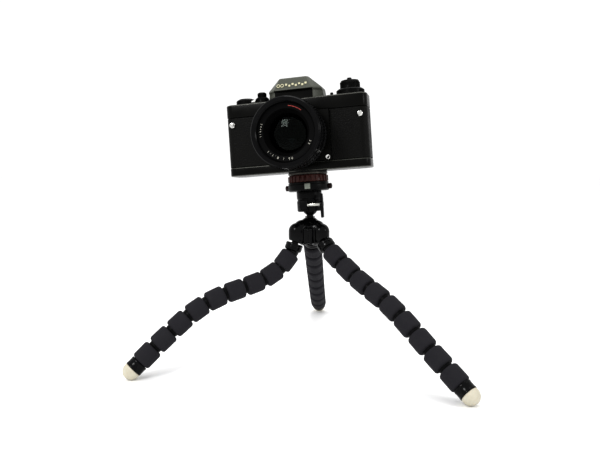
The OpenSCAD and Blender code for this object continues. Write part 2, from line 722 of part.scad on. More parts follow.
leg_hub();
for (leg = [0:2]) {
    name = str(["left", "right", "rear"][leg], "_leg_");
    collar(leg);
    section(leg, 1, 1);
    section(leg, 2, 3);
    section(leg, 4, 5);
    section(leg, 6, 7);
    section(leg, 8, 9);
    foot(leg);
}
ball_stud();
ball_seat();
ball_clamp();
clamp_screw();
clamp_lever();
release_base();
lock_ring();
release_plate();
plate_pad();
camera_screw();
release_button(-1);  // release_button_left
release_button(1);  // release_button_right
camera_body();
top_cover();
bottom_cover();
prism_cover();
leatherette();
back_door();
pressure_plate();
eyepiece();
lens_mount();
mirror();
lens_barrel();
aperture_ring();
focus_ring();
front_cell();
lens_glass();
rewind_shaft();
rewind_knob();
rewind_crank();
film_speed_collar();
shutter_dial();
shutter_button();
advance_lever();
lens_release_button();
strap_lugs();
takeup_spool();
meter_switch();
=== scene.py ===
import json
import math
import random

import bmesh
import bpy
from mathutils import Matrix, Vector, noise


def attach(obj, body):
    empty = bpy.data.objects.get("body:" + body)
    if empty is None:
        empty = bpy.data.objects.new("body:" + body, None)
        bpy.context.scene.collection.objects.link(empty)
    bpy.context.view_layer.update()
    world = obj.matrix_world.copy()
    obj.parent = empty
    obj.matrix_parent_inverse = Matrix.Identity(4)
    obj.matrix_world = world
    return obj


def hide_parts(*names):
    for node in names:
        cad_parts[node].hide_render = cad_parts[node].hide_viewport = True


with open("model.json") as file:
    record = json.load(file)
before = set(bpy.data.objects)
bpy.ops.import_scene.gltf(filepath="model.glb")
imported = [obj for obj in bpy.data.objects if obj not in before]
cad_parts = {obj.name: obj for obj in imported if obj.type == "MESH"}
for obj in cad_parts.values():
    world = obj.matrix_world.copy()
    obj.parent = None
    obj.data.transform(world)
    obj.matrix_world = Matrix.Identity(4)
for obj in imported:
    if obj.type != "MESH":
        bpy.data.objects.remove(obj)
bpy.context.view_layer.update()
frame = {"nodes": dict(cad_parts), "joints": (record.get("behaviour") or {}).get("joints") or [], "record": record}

random.seed(7)
MM = 0.001
JOINTS = {joint["name"]: joint for joint in frame["joints"]}
BODY_OF = {n: body for body, nodes in frame["record"]["behaviour"]["bodies"].items() for n in nodes}


# ---------- frames of the tilted camera and head ----------
def joint_at(name):
    return Vector(JOINTS[name]["pos_m"])


def joint_axis(name):
    return Vector(JOINTS[name]["axis"])


def millimetre_frame(origin, x, y, z):
    """Matrix from millimetres in a local frame to metres in the row frame."""
    turn = Matrix((x, y, z)).transposed().to_4x4()
    return Matrix.Translation(origin) @ turn @ Matrix.Scale(MM, 4)


TILT = (joint_axis("clamp_lever_turn"), joint_axis("lens_release_press"), joint_axis("plate_lift"))
screw_at = joint_at("camera_screw_turn")
aside = (joint_at("focus_turn") - screw_at).dot(TILT[0])
CAMERA = millimetre_frame(screw_at + TILT[0] * aside, *TILT)
HEAD = millimetre_frame(joint_at("head_pan"), *TILT)
HUB = Matrix.Translation((joint_at("head_pan").x, joint_at("head_pan").y, 0)) @ Matrix.Scale(MM, 4)


def local_box(node, place):
    """Lowest and highest corners of a CAD node in a local frame, in millimetres."""
    back = place.inverted()
    points = [back @ v.co for v in frame["nodes"][node].data.vertices]
    lo = Vector([min(p[i] for p in points) for i in range(3)])
    hi = Vector([max(p[i] for p in points) for i in range(3)])
    return lo, hi


# ---------- materials ----------
def srgb(hex_colour):
    """Linear RGBA of an sRGB hex colour."""
    channels = [int(hex_colour[i:i + 2], 16) / 255 for i in (1, 3, 5)]
    linear = [c / 12.92 if c <= 0.04045 else ((c + 0.055) / 1.055) ** 2.4 for c in channels]
    return (*linear, 1)


def add(tree, kind, inputs=None, links=None, **settings):
    """A shader node with its settings, its unlinked inputs and its links."""
    node = tree.nodes.new("ShaderNode" + kind)
    for key, value in settings.items():
        setattr(node, key, value)
    for key, value in (inputs or {}).items():
        node.inputs[key].default_value = value
    for key, (source, output) in (links or {}).items():
        tree.links.new(source.outputs[output], node.inputs[key])
    return node


def surface(name, colour, second, mix_mm, roughness, rough_spread=0.08, bump_mm=0.0, grain_mm=0.5,
            pattern="Noise", metallic=0.0, shine=0.5, **extra):
    """Principled surface: two close colours in soft patches, uneven roughness, and a fine relief."""
    made = bpy.data.materials.new(name)
    made.use_nodes = True
    tree = made.node_tree
    tree.nodes.clear()
    where = add(tree, "TexCoord")
    patches = add(tree, "TexNoise", {"Scale": 1 / (mix_mm * MM), "Detail": 4.0, "Roughness": 0.6},
                  {"Vector": (where, "Object")})
    tone = add(tree, "Mix", {6: srgb(colour), 7: srgb(second)}, {0: (patches, "Fac")}, data_type="RGBA")
    sheen = add(tree, "MapRange", {"From Min": 0.3, "From Max": 0.7,
                                   "To Min": max(0.02, roughness - rough_spread),
                                   "To Max": min(1.0, roughness + rough_spread)},
                {"Value": (patches, "Fac")})
    shader = add(tree, "BsdfPrincipled",
                 {"Metallic": metallic, "Specular IOR Level": shine, **extra},
                 {"Base Color": (tone, 2), "Roughness": (sheen, 0)})
    if bump_mm:
        if pattern == "Voronoi":
            relief = add(tree, "TexVoronoi", {"Scale": 1 / (grain_mm * MM)}, {"Vector": (where, "Object")},
                         feature="SMOOTH_F1")
            height = "Distance"
        else:
            relief = add(tree, "TexNoise", {"Scale": 1 / (grain_mm * MM), "Detail": 3.0},
                         {"Vector": (where, "Object")})
            height = "Fac"
        bump = add(tree, "Bump", {"Strength": 1.0, "Distance": bump_mm * MM}, {"Height": (relief, height)})
        tree.links.new(bump.outputs["Normal"], shader.inputs["Normal"])
    add(tree, "OutputMaterial", None, {"Surface": (shader, "BSDF")})
    return made


# Moulded closed-cell foam: dull charcoal skin with fine pores, a little paler where it is handled
FOAM = surface("closed_cell_foam", "#1d1c20", "#28272c", 9, 0.85, 0.1, 0.16, 0.8, shine=0.3)
# Injection-moulded glossy ABS: near black, with a soft flow waviness in the reflection
GLOSS_ABS = surface("glossy_black_abs", "#030304", "#060607", 14, 0.14, 0.05, 0.05, 6.0, shine=0.16)
# Acetal ball links: black, self-coloured, slightly waxy
ACETAL = surface("black_acetal", "#040405", "#08080a", 5, 0.4, 0.08, 0.02, 1.5, shine=0.1)
# Moulded thermoplastic rubber feet: warm white, scuffed a little darker in patches
FOOT_RUBBER = surface("warm_white_rubber", "#c9c4b4", "#b5b0a0", 6, 0.55, 0.1, 0.03, 0.8,
                      **{"Subsurface Weight": 0.12, "Subsurface Radius": (0.004, 0.003, 0.002),
                         "Subsurface Scale": 0.3})
# Black anodised aluminium castings of the head: satin, with a fine blasted grain
HEAD_ANODISED = surface("blasted_black_anodising", "#050506", "#0a0a0b", 8, 0.3, 0.08, 0.02, 0.4, shine=0.1)
# Turned steel screws: bright, with fine tool marks
TURNED_STEEL = surface("turned_steel", "#c8c8c2", "#a9a9a4", 2, 0.22, 0.08, 0.01, 0.5, metallic=1.0)
# Ribbed nylon locking ring: dark red-brown, the ribs rubbed shiny
NYLON_BROWN = surface("red_brown_nylon", "#2b1210", "#43241f", 5, 0.33, 0.1, 0.03, 0.8, shine=0.2)
# Red-brown release buttons, the same nylon in a deeper colour
BUTTON_BROWN = surface("deep_red_brown_nylon", "#260e0e", "#180a0a", 3, 0.3, 0.06, 0.02, 0.8, shine=0.3)
# Camera plate: black anodising, rubbed to pale metal on its rim
RUBBED_RIM = surface("rubbed_aluminium_rim", "#504e49", "#2f2d2a", 3, 0.35, 0.12, 0.02, 0.8, metallic=0.85)
# Vulcanised rubber pad under the camera
PAD_RUBBER = surface("black_pad_rubber", "#121213", "#19191a", 4, 0.75, 0.08, 0.05, 0.9, shine=0.15)
# Painted pale label on the quick release
PALE_PAINT = surface("pale_grey_paint", "#83887f", "#70756c", 4, 0.5, 0.1, 0.01, 0.8)
# Stove enamel on the camera's covers: near black with an olive cast, satin
ENAMEL = surface("black_stove_enamel", "#060605", "#0c0c0a", 18, 0.27, 0.07, 0.025, 1.2, shine=0.1)
# The same enamel in grey along the rims: partly rubbed through where handled, partly a painted highlight
WORN_AND_HIGHLIT_EDGE = surface("rubbed_enamel_edge_with_painted_highlight", "#55564f", "#2a2a27", 2.2, 0.33, 0.12, 0.02, 0.8, metallic=0.35)
# Satin enamel of the prism housing's face and shoulders, coloured grey as a painted reflection of the light
# falling on them
PRISM_PAINTED_REFLECTION = surface("satin_enamel_painted_reflection_grey", "#4f514a", "#5b5d55", 12, 0.4, 0.08, 0.03, 0.9, shine=0.25)
# Crinkle-free dull black inside the camera and lens
DULL_BLACK = surface("dull_black_flock", "#040404", "#070707", 5, 0.85, 0.08, 0.03, 0.6, shine=0.05)
# Leather-grained vinyl covering: pebbles about 0.9 mm across, drawn a little coarse so that they show
LEATHERETTE = surface("pebbled_vinyl", "#080807", "#10100e", 16, 0.46, 0.09, 0.28, 1.0, "Voronoi", shine=0.1)
# Lens rings: black anodised aluminium, satin
LENS_ANODISED = surface("satin_black_anodising", "#040405", "#080809", 9, 0.22, 0.07, 0.01, 0.6, shine=0.12)
# Engraved name ring, darker and duller than the outside
NAME_RING = surface("dull_engraved_anodising", "#040404", "#070708", 6, 0.45, 0.06, 0.01, 0.6, shine=0.06)
# Knurled controls: black anodised, edges bright from use
CONTROL = surface("knurled_black_anodising", "#060606", "#0e0e0d", 3, 0.3, 0.1, 0.02, 0.7, shine=0.1)
# Polished chrome lugs and lens release
CHROME = surface("polished_chrome", "#d9d9d6", "#c9c9c6", 3, 0.09, 0.04, 0.004, 1.0, metallic=1.0)
# Paint filled into engravings
WHITE_FILL = surface("white_engraving_fill", "#d8d6cb", "#c5c2b4", 2, 0.55)
CREAM_FILL = surface("cream_engraving_fill", "#cfcbae", "#bcb794", 2, 0.5)
RED_FILL = surface("red_engraving_fill", "#a5352d", "#8c2a24", 2, 0.5)
# Front-silvered mirror
SILVER = surface("front_silvered_glass", "#d8dadb", "#cfd2d4", 20, 0.05, 0.02, 0.002, 2.0, metallic=1.0)
# Grey acetal liner of the ball clamp
LINER = surface("grey_acetal_liner", "#55565a", "#494a4e", 5, 0.45, 0.08, 0.01, 0.8)


def coated_glass():
    """Multi-coated crown glass: the coating takes most of the reflection, so it acts as a low-index glass."""
    made = bpy.data.materials.new("coated_optical_glass")
    made.use_nodes = True
    tree = made.node_tree
    tree.nodes.clear()
    where = add(tree, "TexCoord")
    haze = add(tree, "TexNoise", {"Scale": 1 / (7 * MM), "Detail": 3.0}, {"Vector": (where, "Object")})
    tone = add(tree, "Mix", {6: srgb("#3a3f42"), 7: srgb("#2f3438")}, {0: (haze, "Fac")}, data_type="RGBA")
    dust = add(tree, "MapRange", {"From Min": 0.45, "From Max": 0.8, "To Min": 0.01, "To Max": 0.05},
               {"Value": (haze, "Fac")})
    shader = add(tree, "BsdfPrincipled",
                 {"Transmission Weight": 1.0, "IOR": 1.2, "Coat Weight": 0.03,
                  "Coat Roughness": 0.05, "Specular IOR Level": 0.12,
                  "Specular Tint": srgb("#a9b8b0")},
                 {"Base Color": (tone, 2), "Roughness": (dust, 0)})
    add(tree, "OutputMaterial", None, {"Surface": (shader, "BSDF")})
    return made


GLASS = coated_glass()


# ---------- mesh helpers ----------
def finished(node, finish):
    """Gives a CAD node's own mesh its real finish."""
    mesh = frame["nodes"][node].data
    mesh.materials.clear()
    mesh.materials.append(finish)


def piece(name, bm, place, node, *materials, replaces=True, sharp=38):
    """Places a finished bmesh in the row frame as an object that rides with the CAD node's body."""
    bmesh.ops.transform(bm, matrix=place, verts=bm.verts)
    mesh = bpy.data.meshes.new(name)
    bm.to_mesh(mesh)
    bm.free()
    for finish in materials:
        mesh.materials.append(finish)
    mesh.shade_smooth()
    mesh.set_sharp_from_angle(angle=math.radians(sharp))
    made = bpy.data.objects.new(name, mesh)
    bpy.context.scene.collection.objects.link(made)
    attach(made, BODY_OF[node])
    if replaces:
        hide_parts(node)
        finished(node, materials[0])
    return made


def soften(bm, edges, width, segments=2):
    """Bevels edges and returns the new faces."""
    made = bmesh.ops.bevel(bm, geom=list(edges), offset=width, offset_type="OFFSET", segments=segments,
                           profile=0.5, affect="EDGES", clamp_overlap=True, material=-1)
    return made["faces"]


def sharp_edges(bm, degrees=30):
    return [e for e in bm.edges if len(e.link_faces) == 2 and e.calc_face_angle(0) > math.radians(degrees)]


def turned(profile, steps=96, rim=0.25, grips=()):
    """Solid turned about Z from an outline of (radius, height) points in millimetres.
    grips are (radius, low, high, height) bands, where every second face stands out as a rib."""
    bm = bmesh.new()
    points = [bm.verts.new((r, 0, z)) for r, z in profile]
    on_axis = max(profile[0][0], profile[-1][0]) < 1e-6
    ends = [] if on_axis else [(points[-1], points[0])]
    edges = [bm.edges.new(pair) for pair in [*zip(points, points[1:]), *ends]]
    bmesh.ops.spin(bm, geom=points + edges, cent=(0, 0, 0), axis=(0, 0, 1), angle=2 * math.pi,
                   steps=steps, use_merge=True)
    bmesh.ops.remove_doubles(bm, verts=bm.verts, dist=1e-4)
    bmesh.ops.recalc_face_normals(bm, faces=bm.faces)
    for radius, low, high, height in grips:
        band = [f for f in bm.faces if low < f.calc_center_median().z < high
                and all(abs(math.hypot(v.co.x, v.co.y) - radius) < 0.05 for v in f.verts)]
        band.sort(key=lambda f: math.atan2(f.calc_center_median().y, f.calc_center_median().x))
        bmesh.ops.inset_individual(bm, faces=band[::2], thickness=0.12, depth=height, use_even_offset=True)
    if rim:
        soften(bm, sharp_edges(bm), rim)
    return bm


def rounded_outline(bm, w, d, r, z, segments=8):
    """Rounded rectangle face at height z."""
    made = bmesh.ops.create_grid(bm, x_segments=1, y_segments=1, size=0.5)
    bmesh.ops.scale(bm, vec=(w, d, 1), verts=made["verts"])
    bmesh.ops.translate(bm, vec=(0, 0, z), verts=made["verts"])
    bmesh.ops.bevel(bm, geom=made["verts"], offset=r, offset_type="OFFSET", segments=segments,
                    profile=0.5, affect="VERTICES", clamp_overlap=True, material=-1)


def raised(bm, faces, height):
    """Extrudes faces upwards and returns the new top vertices."""
    made = bmesh.ops.extrude_face_region(bm, geom=list(faces))
    top = [g for g in made["geom"] if isinstance(g, bmesh.types.BMVert)]
    bmesh.ops.translate(bm, vec=(0, 0, height), verts=top)
    return top


def rounded_block(w, d, r, low, high, edge=0.6, segments=3, bevel_index=1):
    """Upright block with rounded corners; its top and bottom rims get the material index given as the last
    argument. On the camera covers that index holds the grey edge finish, which is rubbed wear and a painted
    highlight.
    """
    bm = bmesh.new()
    rounded_outline(bm, w, d, r, low)
    raised(bm, bm.faces[:], high - low)
    bmesh.ops.recalc_face_normals(bm, faces=bm.faces)
    rims = [e for e in bm.edges if e.calc_face_angle(0) > math.radians(60)
            and abs(e.verts[0].co.z - e.verts[1].co.z) < 1e-4]
    for face in soften(bm, rims, edge, segments):
        face.material_index = bevel_index
    return bm


def box_block(lo, hi, edge=0.4, segments=2, bevel_index=0):
    """Box between two corners with softened edges."""
    bm = bmesh.new()
    made = bmesh.ops.create_cube(bm, size=1)
    bmesh.ops.scale(bm, vec=Vector(hi) - Vector(lo), verts=made["verts"])
    bmesh.ops.translate(bm, vec=(Vector(hi) + Vector(lo)) / 2, verts=made["verts"])
    for face in soften(bm, bm.edges[:], edge, segments):
        face.material_index = bevel_index
    return bm


def arc(r, z, radius, start, end, count):
    """Points of an arc in a turned outline, angles in degrees from the radius direction."""
    return [(r + radius * math.cos(math.radians(start + (end - start) * i / count)),
             z + radius * math.sin(math.radians(start + (end - start) * i / count)))
            for i in range(count + 1)]


def joined(*parts):
    """One bmesh from several."""
    whole = bmesh.new()
    for part in parts:
        mesh = bpy.data.meshes.new("part")
        part.to_mesh(mesh)
        part.free()
        whole.from_mesh(mesh)
        bpy.data.meshes.remove(mesh)
    return whole


def moved(bm, matrix):
    bmesh.ops.transform(bm, matrix=matrix, verts=bm.verts)
    return bm


def numerals(text, size, depth=0.06):
    """A short row of digits as a thin raised mesh on the XY plane, centred."""
    curve = bpy.data.curves.new("digits", "FONT")
    curve.body = text
    curve.size = size
    curve.align_x = "CENTER"
    curve.align_y = "CENTER"
    curve.extrude = depth / 2
    curve.resolution_u = 3
    holder = bpy.data.objects.new("digits", curve)
    bpy.context.scene.collection.objects.link(holder)
    bpy.context.view_layer.update()
    mesh = bpy.data.meshes.new_from_object(holder.evaluated_get(bpy.context.evaluated_depsgraph_get()))
    bm = bmesh.new()
    bm.from_mesh(mesh)
    bmesh.ops.remove_doubles(bm, verts=bm.verts, dist=1e-4)
    bpy.data.objects.remove(holder)
    bpy.data.curves.remove(curve)
    bpy.data.meshes.remove(mesh)
    return bm


def on_ring(bm, radius, degrees, z):
    """Lays a flat figure on a disc facing +Z, reading from outside when seen from the front."""
    spin = Matrix.Rotation(math.radians(degrees), 4, "Z")
    return moved(bm, spin @ Matrix.Translation((0, radius, z)))


def on_barrel(bm, radius, degrees, z):
    """Lays a flat figure on a cylinder about Z, its top towards +Z."""
    stand = Matrix.Rotation(math.radians(degrees), 4, "Z") @ Matrix.Translation((0, -radius, z))
    return moved(bm, stand @ Matrix.Rotation(math.radians(90), 4, "X"))


# ---------- legs ----------
LINK_PITCH, COLLAR_L, FOOT_R, FOOT_REACH, PIVOT_OFFSET = 20, 15, 8, 9, 14
FOAM_R, FOAM_GAP, BORE_R, RING_COUNT = 9.5, 2.8, 6.65, 9
BALL_R, NECK_R, SOCKET_R, LOBE_R = 4.8, 2.7, 6.5, 8.2
HUB_TURN = 81
LEGS = {
    "left": (204.8, 120, (70, 50, 30, 16, 14, 21, 31, 39, 40, 42)),
    "right": (313, 240, (45, 36, 33, 28, 26, 33, 38, 38, 37, 37)),
    "rear": (85.8, 0, (40, 33, 33, 33, 32, 35, 32, 32, 29, 26)),
}
PIVOT_Z = joint_at("left_leg_swing").z / MM


def leg_places(name):
    """Frames along one leg, from the hub pivot to the foot: +Z runs down the leg from each pivot."""
    turn, lobe, slopes = LEGS[name]
    lengths = [COLLAR_L] + [LINK_PITCH] * RING_COUNT + [FOOT_REACH]
    slopes = [*slopes, slopes[-1]]
    along = sum(l * math.cos(math.radians(s)) for l, s in zip(lengths, slopes))
    down = sum(l * math.sin(math.radians(s)) for l, s in zip(lengths, slopes))
    settle = math.asin((PIVOT_Z - FOOT_R) / math.hypot(along, down)) - math.atan2(down, along)
    at = Vector((math.cos(math.radians(HUB_TURN + lobe)), math.sin(math.radians(HUB_TURN + lobe)), 0))
    at = at * PIVOT_OFFSET + Vector((0, 0, PIVOT_Z))
    places = []
    for length, slope in zip(lengths, slopes):
        aim = Matrix.Rotation(math.radians(turn), 4, "Z") @ Matrix.Rotation(
            math.pi / 2 + math.radians(slope) + settle, 4, "Y")
        places.append(HUB @ Matrix.Translation(at) @ aim)
        at = at + aim.to_3x3() @ Vector((0, 0, length))
    return places


def foam_ring(seed):
    """Foam tube with full round ends, slightly uneven as moulded and handled foam is."""
    low, high, round_r = FOAM_GAP / 2, LINK_PITCH - FOAM_GAP / 2, 2.6
    outer = FOAM_R - round_r
    side = [(FOAM_R, low + round_r + (high - low - 2 * round_r) * i / 8) for i in range(1, 8)]
    outline = [(BORE_R, high - 0.3), (BORE_R, low + 0.3)]
    outline += arc(outer, low + round_r, round_r, -100, 0, 7) + side
    outline += arc(outer, high - round_r, round_r, 0, 100, 7)
    bm = turned(outline, 72, 0)
    for v in bm.verts:
        radius = math.hypot(v.co.x, v.co.y)
        if radius > BORE_R + 0.3:
            wave = noise.noise(v.co * 0.16 + Vector((seed * 7.3, 0, 0)))
            fine = noise.noise(v.co * 0.9 + Vector((0, seed * 3.1, 0)))
            change = 1 - (0.012 * (1 + wave) + 0.003 * (1 + fine))
            v.co.x *= change
            v.co.y *= change
    return bm


def link():
    """Ball, neck, tube and socket in one moulding; only glimpses of it show between the foam rings."""
    mouth = 60
    reach = SOCKET_R * math.cos(math.radians(mouth))
    width = SOCKET_R * math.sin(math.radians(mouth))
    ball = arc(0, 0, BALL_R, -90, 50, 8)
    tube = [(NECK_R, 4.3), (NECK_R, 6.2), (6.0, 4.4), (6.55, 4.4), (6.55, LINK_PITCH - 4)]
    tip = [(6.4, LINK_PITCH - 1), (width, LINK_PITCH + reach), (BALL_R * 0.9, LINK_PITCH + 2.4)]
    hollow = arc(0, LINK_PITCH, BALL_R + 0.08, 25, -90, 8)
    return turned(ball + tube + tip + hollow, 40, 0.12)


def end_link():
    """The last link: its socket end is the glossy cap that carries the foot."""
    cap = LINK_PITCH - 1
    ball = arc(0, 0, BALL_R, -90, 50, 8)
    tube = [(NECK_R, 4.3), (NECK_R, 6.2), (6.0, 4.4), (6.55, 4.4), (6.55, cap)]
    lip = [(8.3, cap), (8.4, cap + 1.4), (8.1, cap + 1.8), (8.1, cap + 6.6), (8.3, cap + 7), (8.3, cap + 8)]
    return turned(ball + tube + lip + [(0, cap + 8)], 64, 0.3, )


def foot():
    base = LINK_PITCH + 7
    dome = arc(0, base + 2, FOOT_R, 0, 90, 16)
    bm = turned([(0, base + 0.02), (FOOT_R - 0.5, base + 0.02), (FOOT_R, base + 0.5)] + dome, 72, 0)
    return bm


def collar():
    """Glossy collar between hub and first ring, with two shallow grooves."""
    ball = arc(0, 0, 5.6, -90, 45, 8)
    waist = [(3.36, 4.6), (3.36, 8.0), (6.2, 6.4), (7.4, 6.0)]
    barrel = [(8.0, 6.1), (8.45, 7.0), (8.45, 8.6), (8.25, 8.9), (8.25, 9.4), (8.45, 9.7), (8.4, 12.4),
              (7.4, 13.4)]
    reach, width = SOCKET_R * 0.5, SOCKET_R * 0.866
    tip = [(6.5, 13.6), (6.4, COLLAR_L), (width, COLLAR_L + reach), (BALL_R * 0.9, COLLAR_L + 2.4)]
    hollow = arc(0, COLLAR_L, BALL_R + 0.08, 25, -90, 8)
    return turned(ball + waist + barrel + tip + hollow, 72, 0.15)


SECTION_OF_RING = [0, 1, 2, 2, 3, 3, 4, 4, 5, 5]
for leg_index, leg in enumerate(LEGS):
    places = leg_places(leg)
    piece(f"{leg}_collar", collar(), places[0], f"{leg}_leg_knuckle", GLOSS_ABS)
    for ring in range(1, RING_COUNT + 1):
        section = f"{leg}_leg_section_{SECTION_OF_RING[ring]}"
        place = places[ring] @ Matrix.Rotation(random.uniform(0, 6.28), 4, "Z")
        piece(f"{leg}_foam_{ring}", foam_ring(leg_index * 10 + ring), place, section, FOAM)
        if ring < RING_COUNT:
            piece(f"{leg}_link_{ring}", link(), place, section, ACETAL)
        else:
            piece(f"{leg}_end_cap", end_link(), place, section, GLOSS_ABS)
            piece(f"{leg}_foot_dome", foot(), place, f"{leg}_leg_foot", FOOT_RUBBER)


# ---------- hub ----------
BETWEEN_LOBES = 60


def hub():
    """Three lobed sockets blended into one shoulder, with ribs between the lobes."""
    top = local_box("leg_hub", HUB)[1].z
    bell = [(13.0, -5.0), (13.8, -1), (13.9, 4), (13.4, 8.5), (12.0, 12), (10.2, 14.6), (8.2, 16.8),
            (6.2, 18.4)]
    bell = [(r, PIVOT_Z + z) for r, z in bell]
    parts = [turned([(0, PIVOT_Z - 5), *bell, (5.4, top - 0.3), (0, top - 0.3)], 96, 0)]
    for _, lobe, _ in LEGS.values():
        turn = Matrix.Rotation(math.radians(HUB_TURN + lobe), 4, "Z")
        for out, radius, rise in ((PIVOT_OFFSET, LOBE_R - 0.2, 6.5), (PIVOT_OFFSET * 0.6, 8.2, 9.2)):
            dome = arc(0, 0, radius, -90, 0, 8) + arc(0, rise, radius, 0, 90, 12)
            parts.append(moved(turned(dome, 56, 0), turn @ Matrix.Translation((out, 0, PIVOT_Z))))
        for side in (-1, 1):
            rib = arc(0, -4, 2.1, -90, 0, 5) + arc(0, 8.5, 2.1, 0, 90, 5)
            rib_turn = Matrix.Rotation(math.radians(HUB_TURN + lobe + BETWEEN_LOBES + 11 * side), 4, "Z")
            parts.append(moved(turned(rib, 24, 0), rib_turn
                               @ Matrix.Translation((PIVOT_OFFSET - 0.4, 0, PIVOT_Z))))
    return joined(*parts)


def fused(obj, voxel_mm, smooth_passes):
    """Fuses overlapping shells into one skin and relaxes the seams, then keeps the result as the mesh."""
    skin = obj.modifiers.new("fuse", "REMESH")
    skin.mode = "VOXEL"
    skin.voxel_size = voxel_mm * MM
    relax = obj.modifiers.new("relax", "SMOOTH")
    relax.factor = 0.5
    relax.iterations = smooth_passes
    keep_modified(obj)


def keep_modified(obj):
    """Replaces an object's mesh by what its modifiers make of it."""
    bpy.context.view_layer.update()
    made = bpy.data.meshes.new_from_object(obj.evaluated_get(bpy.context.evaluated_depsgraph_get()))
    obj.modifiers.clear()
    obj.data = made
    made.shade_smooth()
    made.set_sharp_from_angle(angle=math.radians(50))


def cut(obj, cutters):
    """Cuts the cutters' volumes out of an object."""
    mesh = bpy.data.meshes.new("cutter")
    cutters.to_mesh(mesh)
    cutters.free()
    tool = bpy.data.objects.new("cutter", mesh)
    bpy.context.scene.collection.objects.link(tool)
    taken = obj.modifiers.new("cut", "BOOLEAN")
    taken.operation = "DIFFERENCE"
    taken.solver = "EXACT"
    taken.use_self = True
    taken.object = tool
    keep_modified(obj)
    bpy.data.objects.remove(tool)


hub_piece = piece("hub_shell", hub(), HUB, "leg_hub", GLOSS_ABS)
fused(hub_piece, 0.6, 10)
SOCKET_MOUTH = 58
for leg in LEGS:
    reach = 2 * LOBE_R
    mouth = turned([(0, 0), (reach * math.tan(math.radians(SOCKET_MOUTH)), reach), (0, reach)], 48, 0)
    ball_room = turned(arc(0, 0, 5.75, -90, 90, 16), 48, 0)
    for cutter in (mouth, ball_room):
        cut(hub_piece, moved(cutter, leg_places(leg)[0]))
stud_room = turned([(0, -9.2), (3.1, -9.2), (3.1, 2), (0, 2)], 32, 0)
cut(hub_piece, moved(stud_room, HUB @ Matrix.Translation((0, 0, local_box("leg_hub", HUB)[1].z))))


# ---------- head ----------
def head_box(node):
    return local_box(node, HEAD)


stud_lo, stud_hi = local_box("ball_stud", HUB)
BALL_Z = joint_at("head_pan").z / MM
HEAD_BALL_R = stud_hi.z - BALL_Z
hub_top = local_box("leg_hub", HUB)[1].z
stud_outline = [(0, stud_lo.z), (3, stud_lo.z), (3, hub_top + 0.15), (5, hub_top + 0.15), (5, hub_top + 0.9),
                (3.3, hub_top + 1.1)] + arc(0, BALL_Z, HEAD_BALL_R, -64, 90, 24)
piece("ball_and_stem", turned(stud_outline, 72, 0.12), HUB, "ball_stud", HEAD_ANODISED)

clamp_hi = head_box("ball_clamp")[1]
SEAT_R = HEAD_BALL_R + 1.4
HOUSING_R = 12.4
LIP = -3.5
lip_hole = math.sqrt(SEAT_R ** 2 - LIP ** 2)
housing_outline = [(lip_hole, LIP + 0.3), (lip_hole + 0.7, LIP), (HOUSING_R - 1, LIP), (HOUSING_R, LIP + 1),
                   (HOUSING_R, 6.6), (HOUSING_R - 0.7, 7.6), (HOUSING_R - 0.7, 8.6), (HOUSING_R - 0.1, 9.4),
                   (HOUSING_R - 0.1, clamp_hi.z), (2.5, clamp_hi.z), (2.5, SEAT_R)]
housing_outline += arc(0, 0, SEAT_R, 74, math.degrees(math.asin(LIP / SEAT_R)), 18)[1:-1]
housing = piece("clamp_housing", turned(housing_outline, 96, 0.25), HEAD, "ball_clamp", HEAD_ANODISED)
SCREW = HEAD.inverted() @ joint_at("clamp_lever_turn")
notch = box_block((0.5, -20, -20), (20, -SEAT_R - 1, 7.5), 0.3)
cut(housing, moved(notch, HEAD))
ear = box_block((-7, SCREW.y - 3.1, SCREW.z - 4.4), (0.4, -9.6, SCREW.z + 4.4), 1.0, 3)
piece("clamp_ear", ear, HEAD, "ball_clamp", HEAD_ANODISED)

screw_lo, screw_hi = head_box("clamp_screw")
ALONG_X = Matrix.Rotation(math.pi / 2, 4, "Y")
screw_axis = HEAD @ Matrix.Translation((0, SCREW.y, SCREW.z)) @ ALONG_X
groove = [(2, screw_lo.x), (2, 1.2), (1.55, 1.6), (1.55, 2.2), (2, 2.6), (2, screw_hi.x)]
piece("clamp_bolt", turned([(0, screw_lo.x), *groove, (0, screw_hi.x)], 48, 0.12), screw_axis,
      "clamp_screw", TURNED_STEEL)


def wing_lever():
    """Moulded wing: a boss with two tapering ears that lean away from the clamp."""
    lo, hi = head_box("clamp_lever")
    bm = turned([(0, 0.1), (3.5, 0.1), (3.5, 2.6), (2.6, 3.3), (0, 3.3)], 48, 0.3)
    parts = [bm]
    for sign, length in ((1, 13.2), (-1, 10.2)):
        blade = bmesh.new()
        bmesh.ops.create_cube(blade, size=1)
        bmesh.ops.scale(blade, vec=(length, 5, 2.9), verts=blade.verts)
        bmesh.ops.translate(blade, vec=(length / 2, 0, 1.75), verts=blade.verts)
        bmesh.ops.subdivide_edges(blade, edges=[e for e in blade.edges
                                                if abs(e.verts[0].co.x - e.verts[1].co.x) > 1],
                                  cuts=8, use_grid_fill=True)
        for v in blade.verts:
            far = v.co.x / length
            v.co.y *= 0.72 + 0.3 * far if sign > 0 else 0.8 + 0.1 * far
            v.co.z = 1.75 + (v.co.z - 1.75) * (1 - 0.25 * abs(far - 0.4))
        upright = [e for e in blade.edges if e.calc_face_angle(0) > math.radians(50)]
        soften(blade, upright, 0.75, 3)
        parts.append(moved(blade, Matrix.Rotation(0 if sign > 0 else math.pi, 4, "Z")))
    return joined(*parts)


lever_lo, lever_hi = head_box("clamp_lever")
lever_place = HEAD @ Matrix.Translation((lever_lo.x, SCREW.y, SCREW.z)) @ ALONG_X
piece("wing_lever", wing_lever(), lever_place, "clamp_lever", GLOSS_ABS)

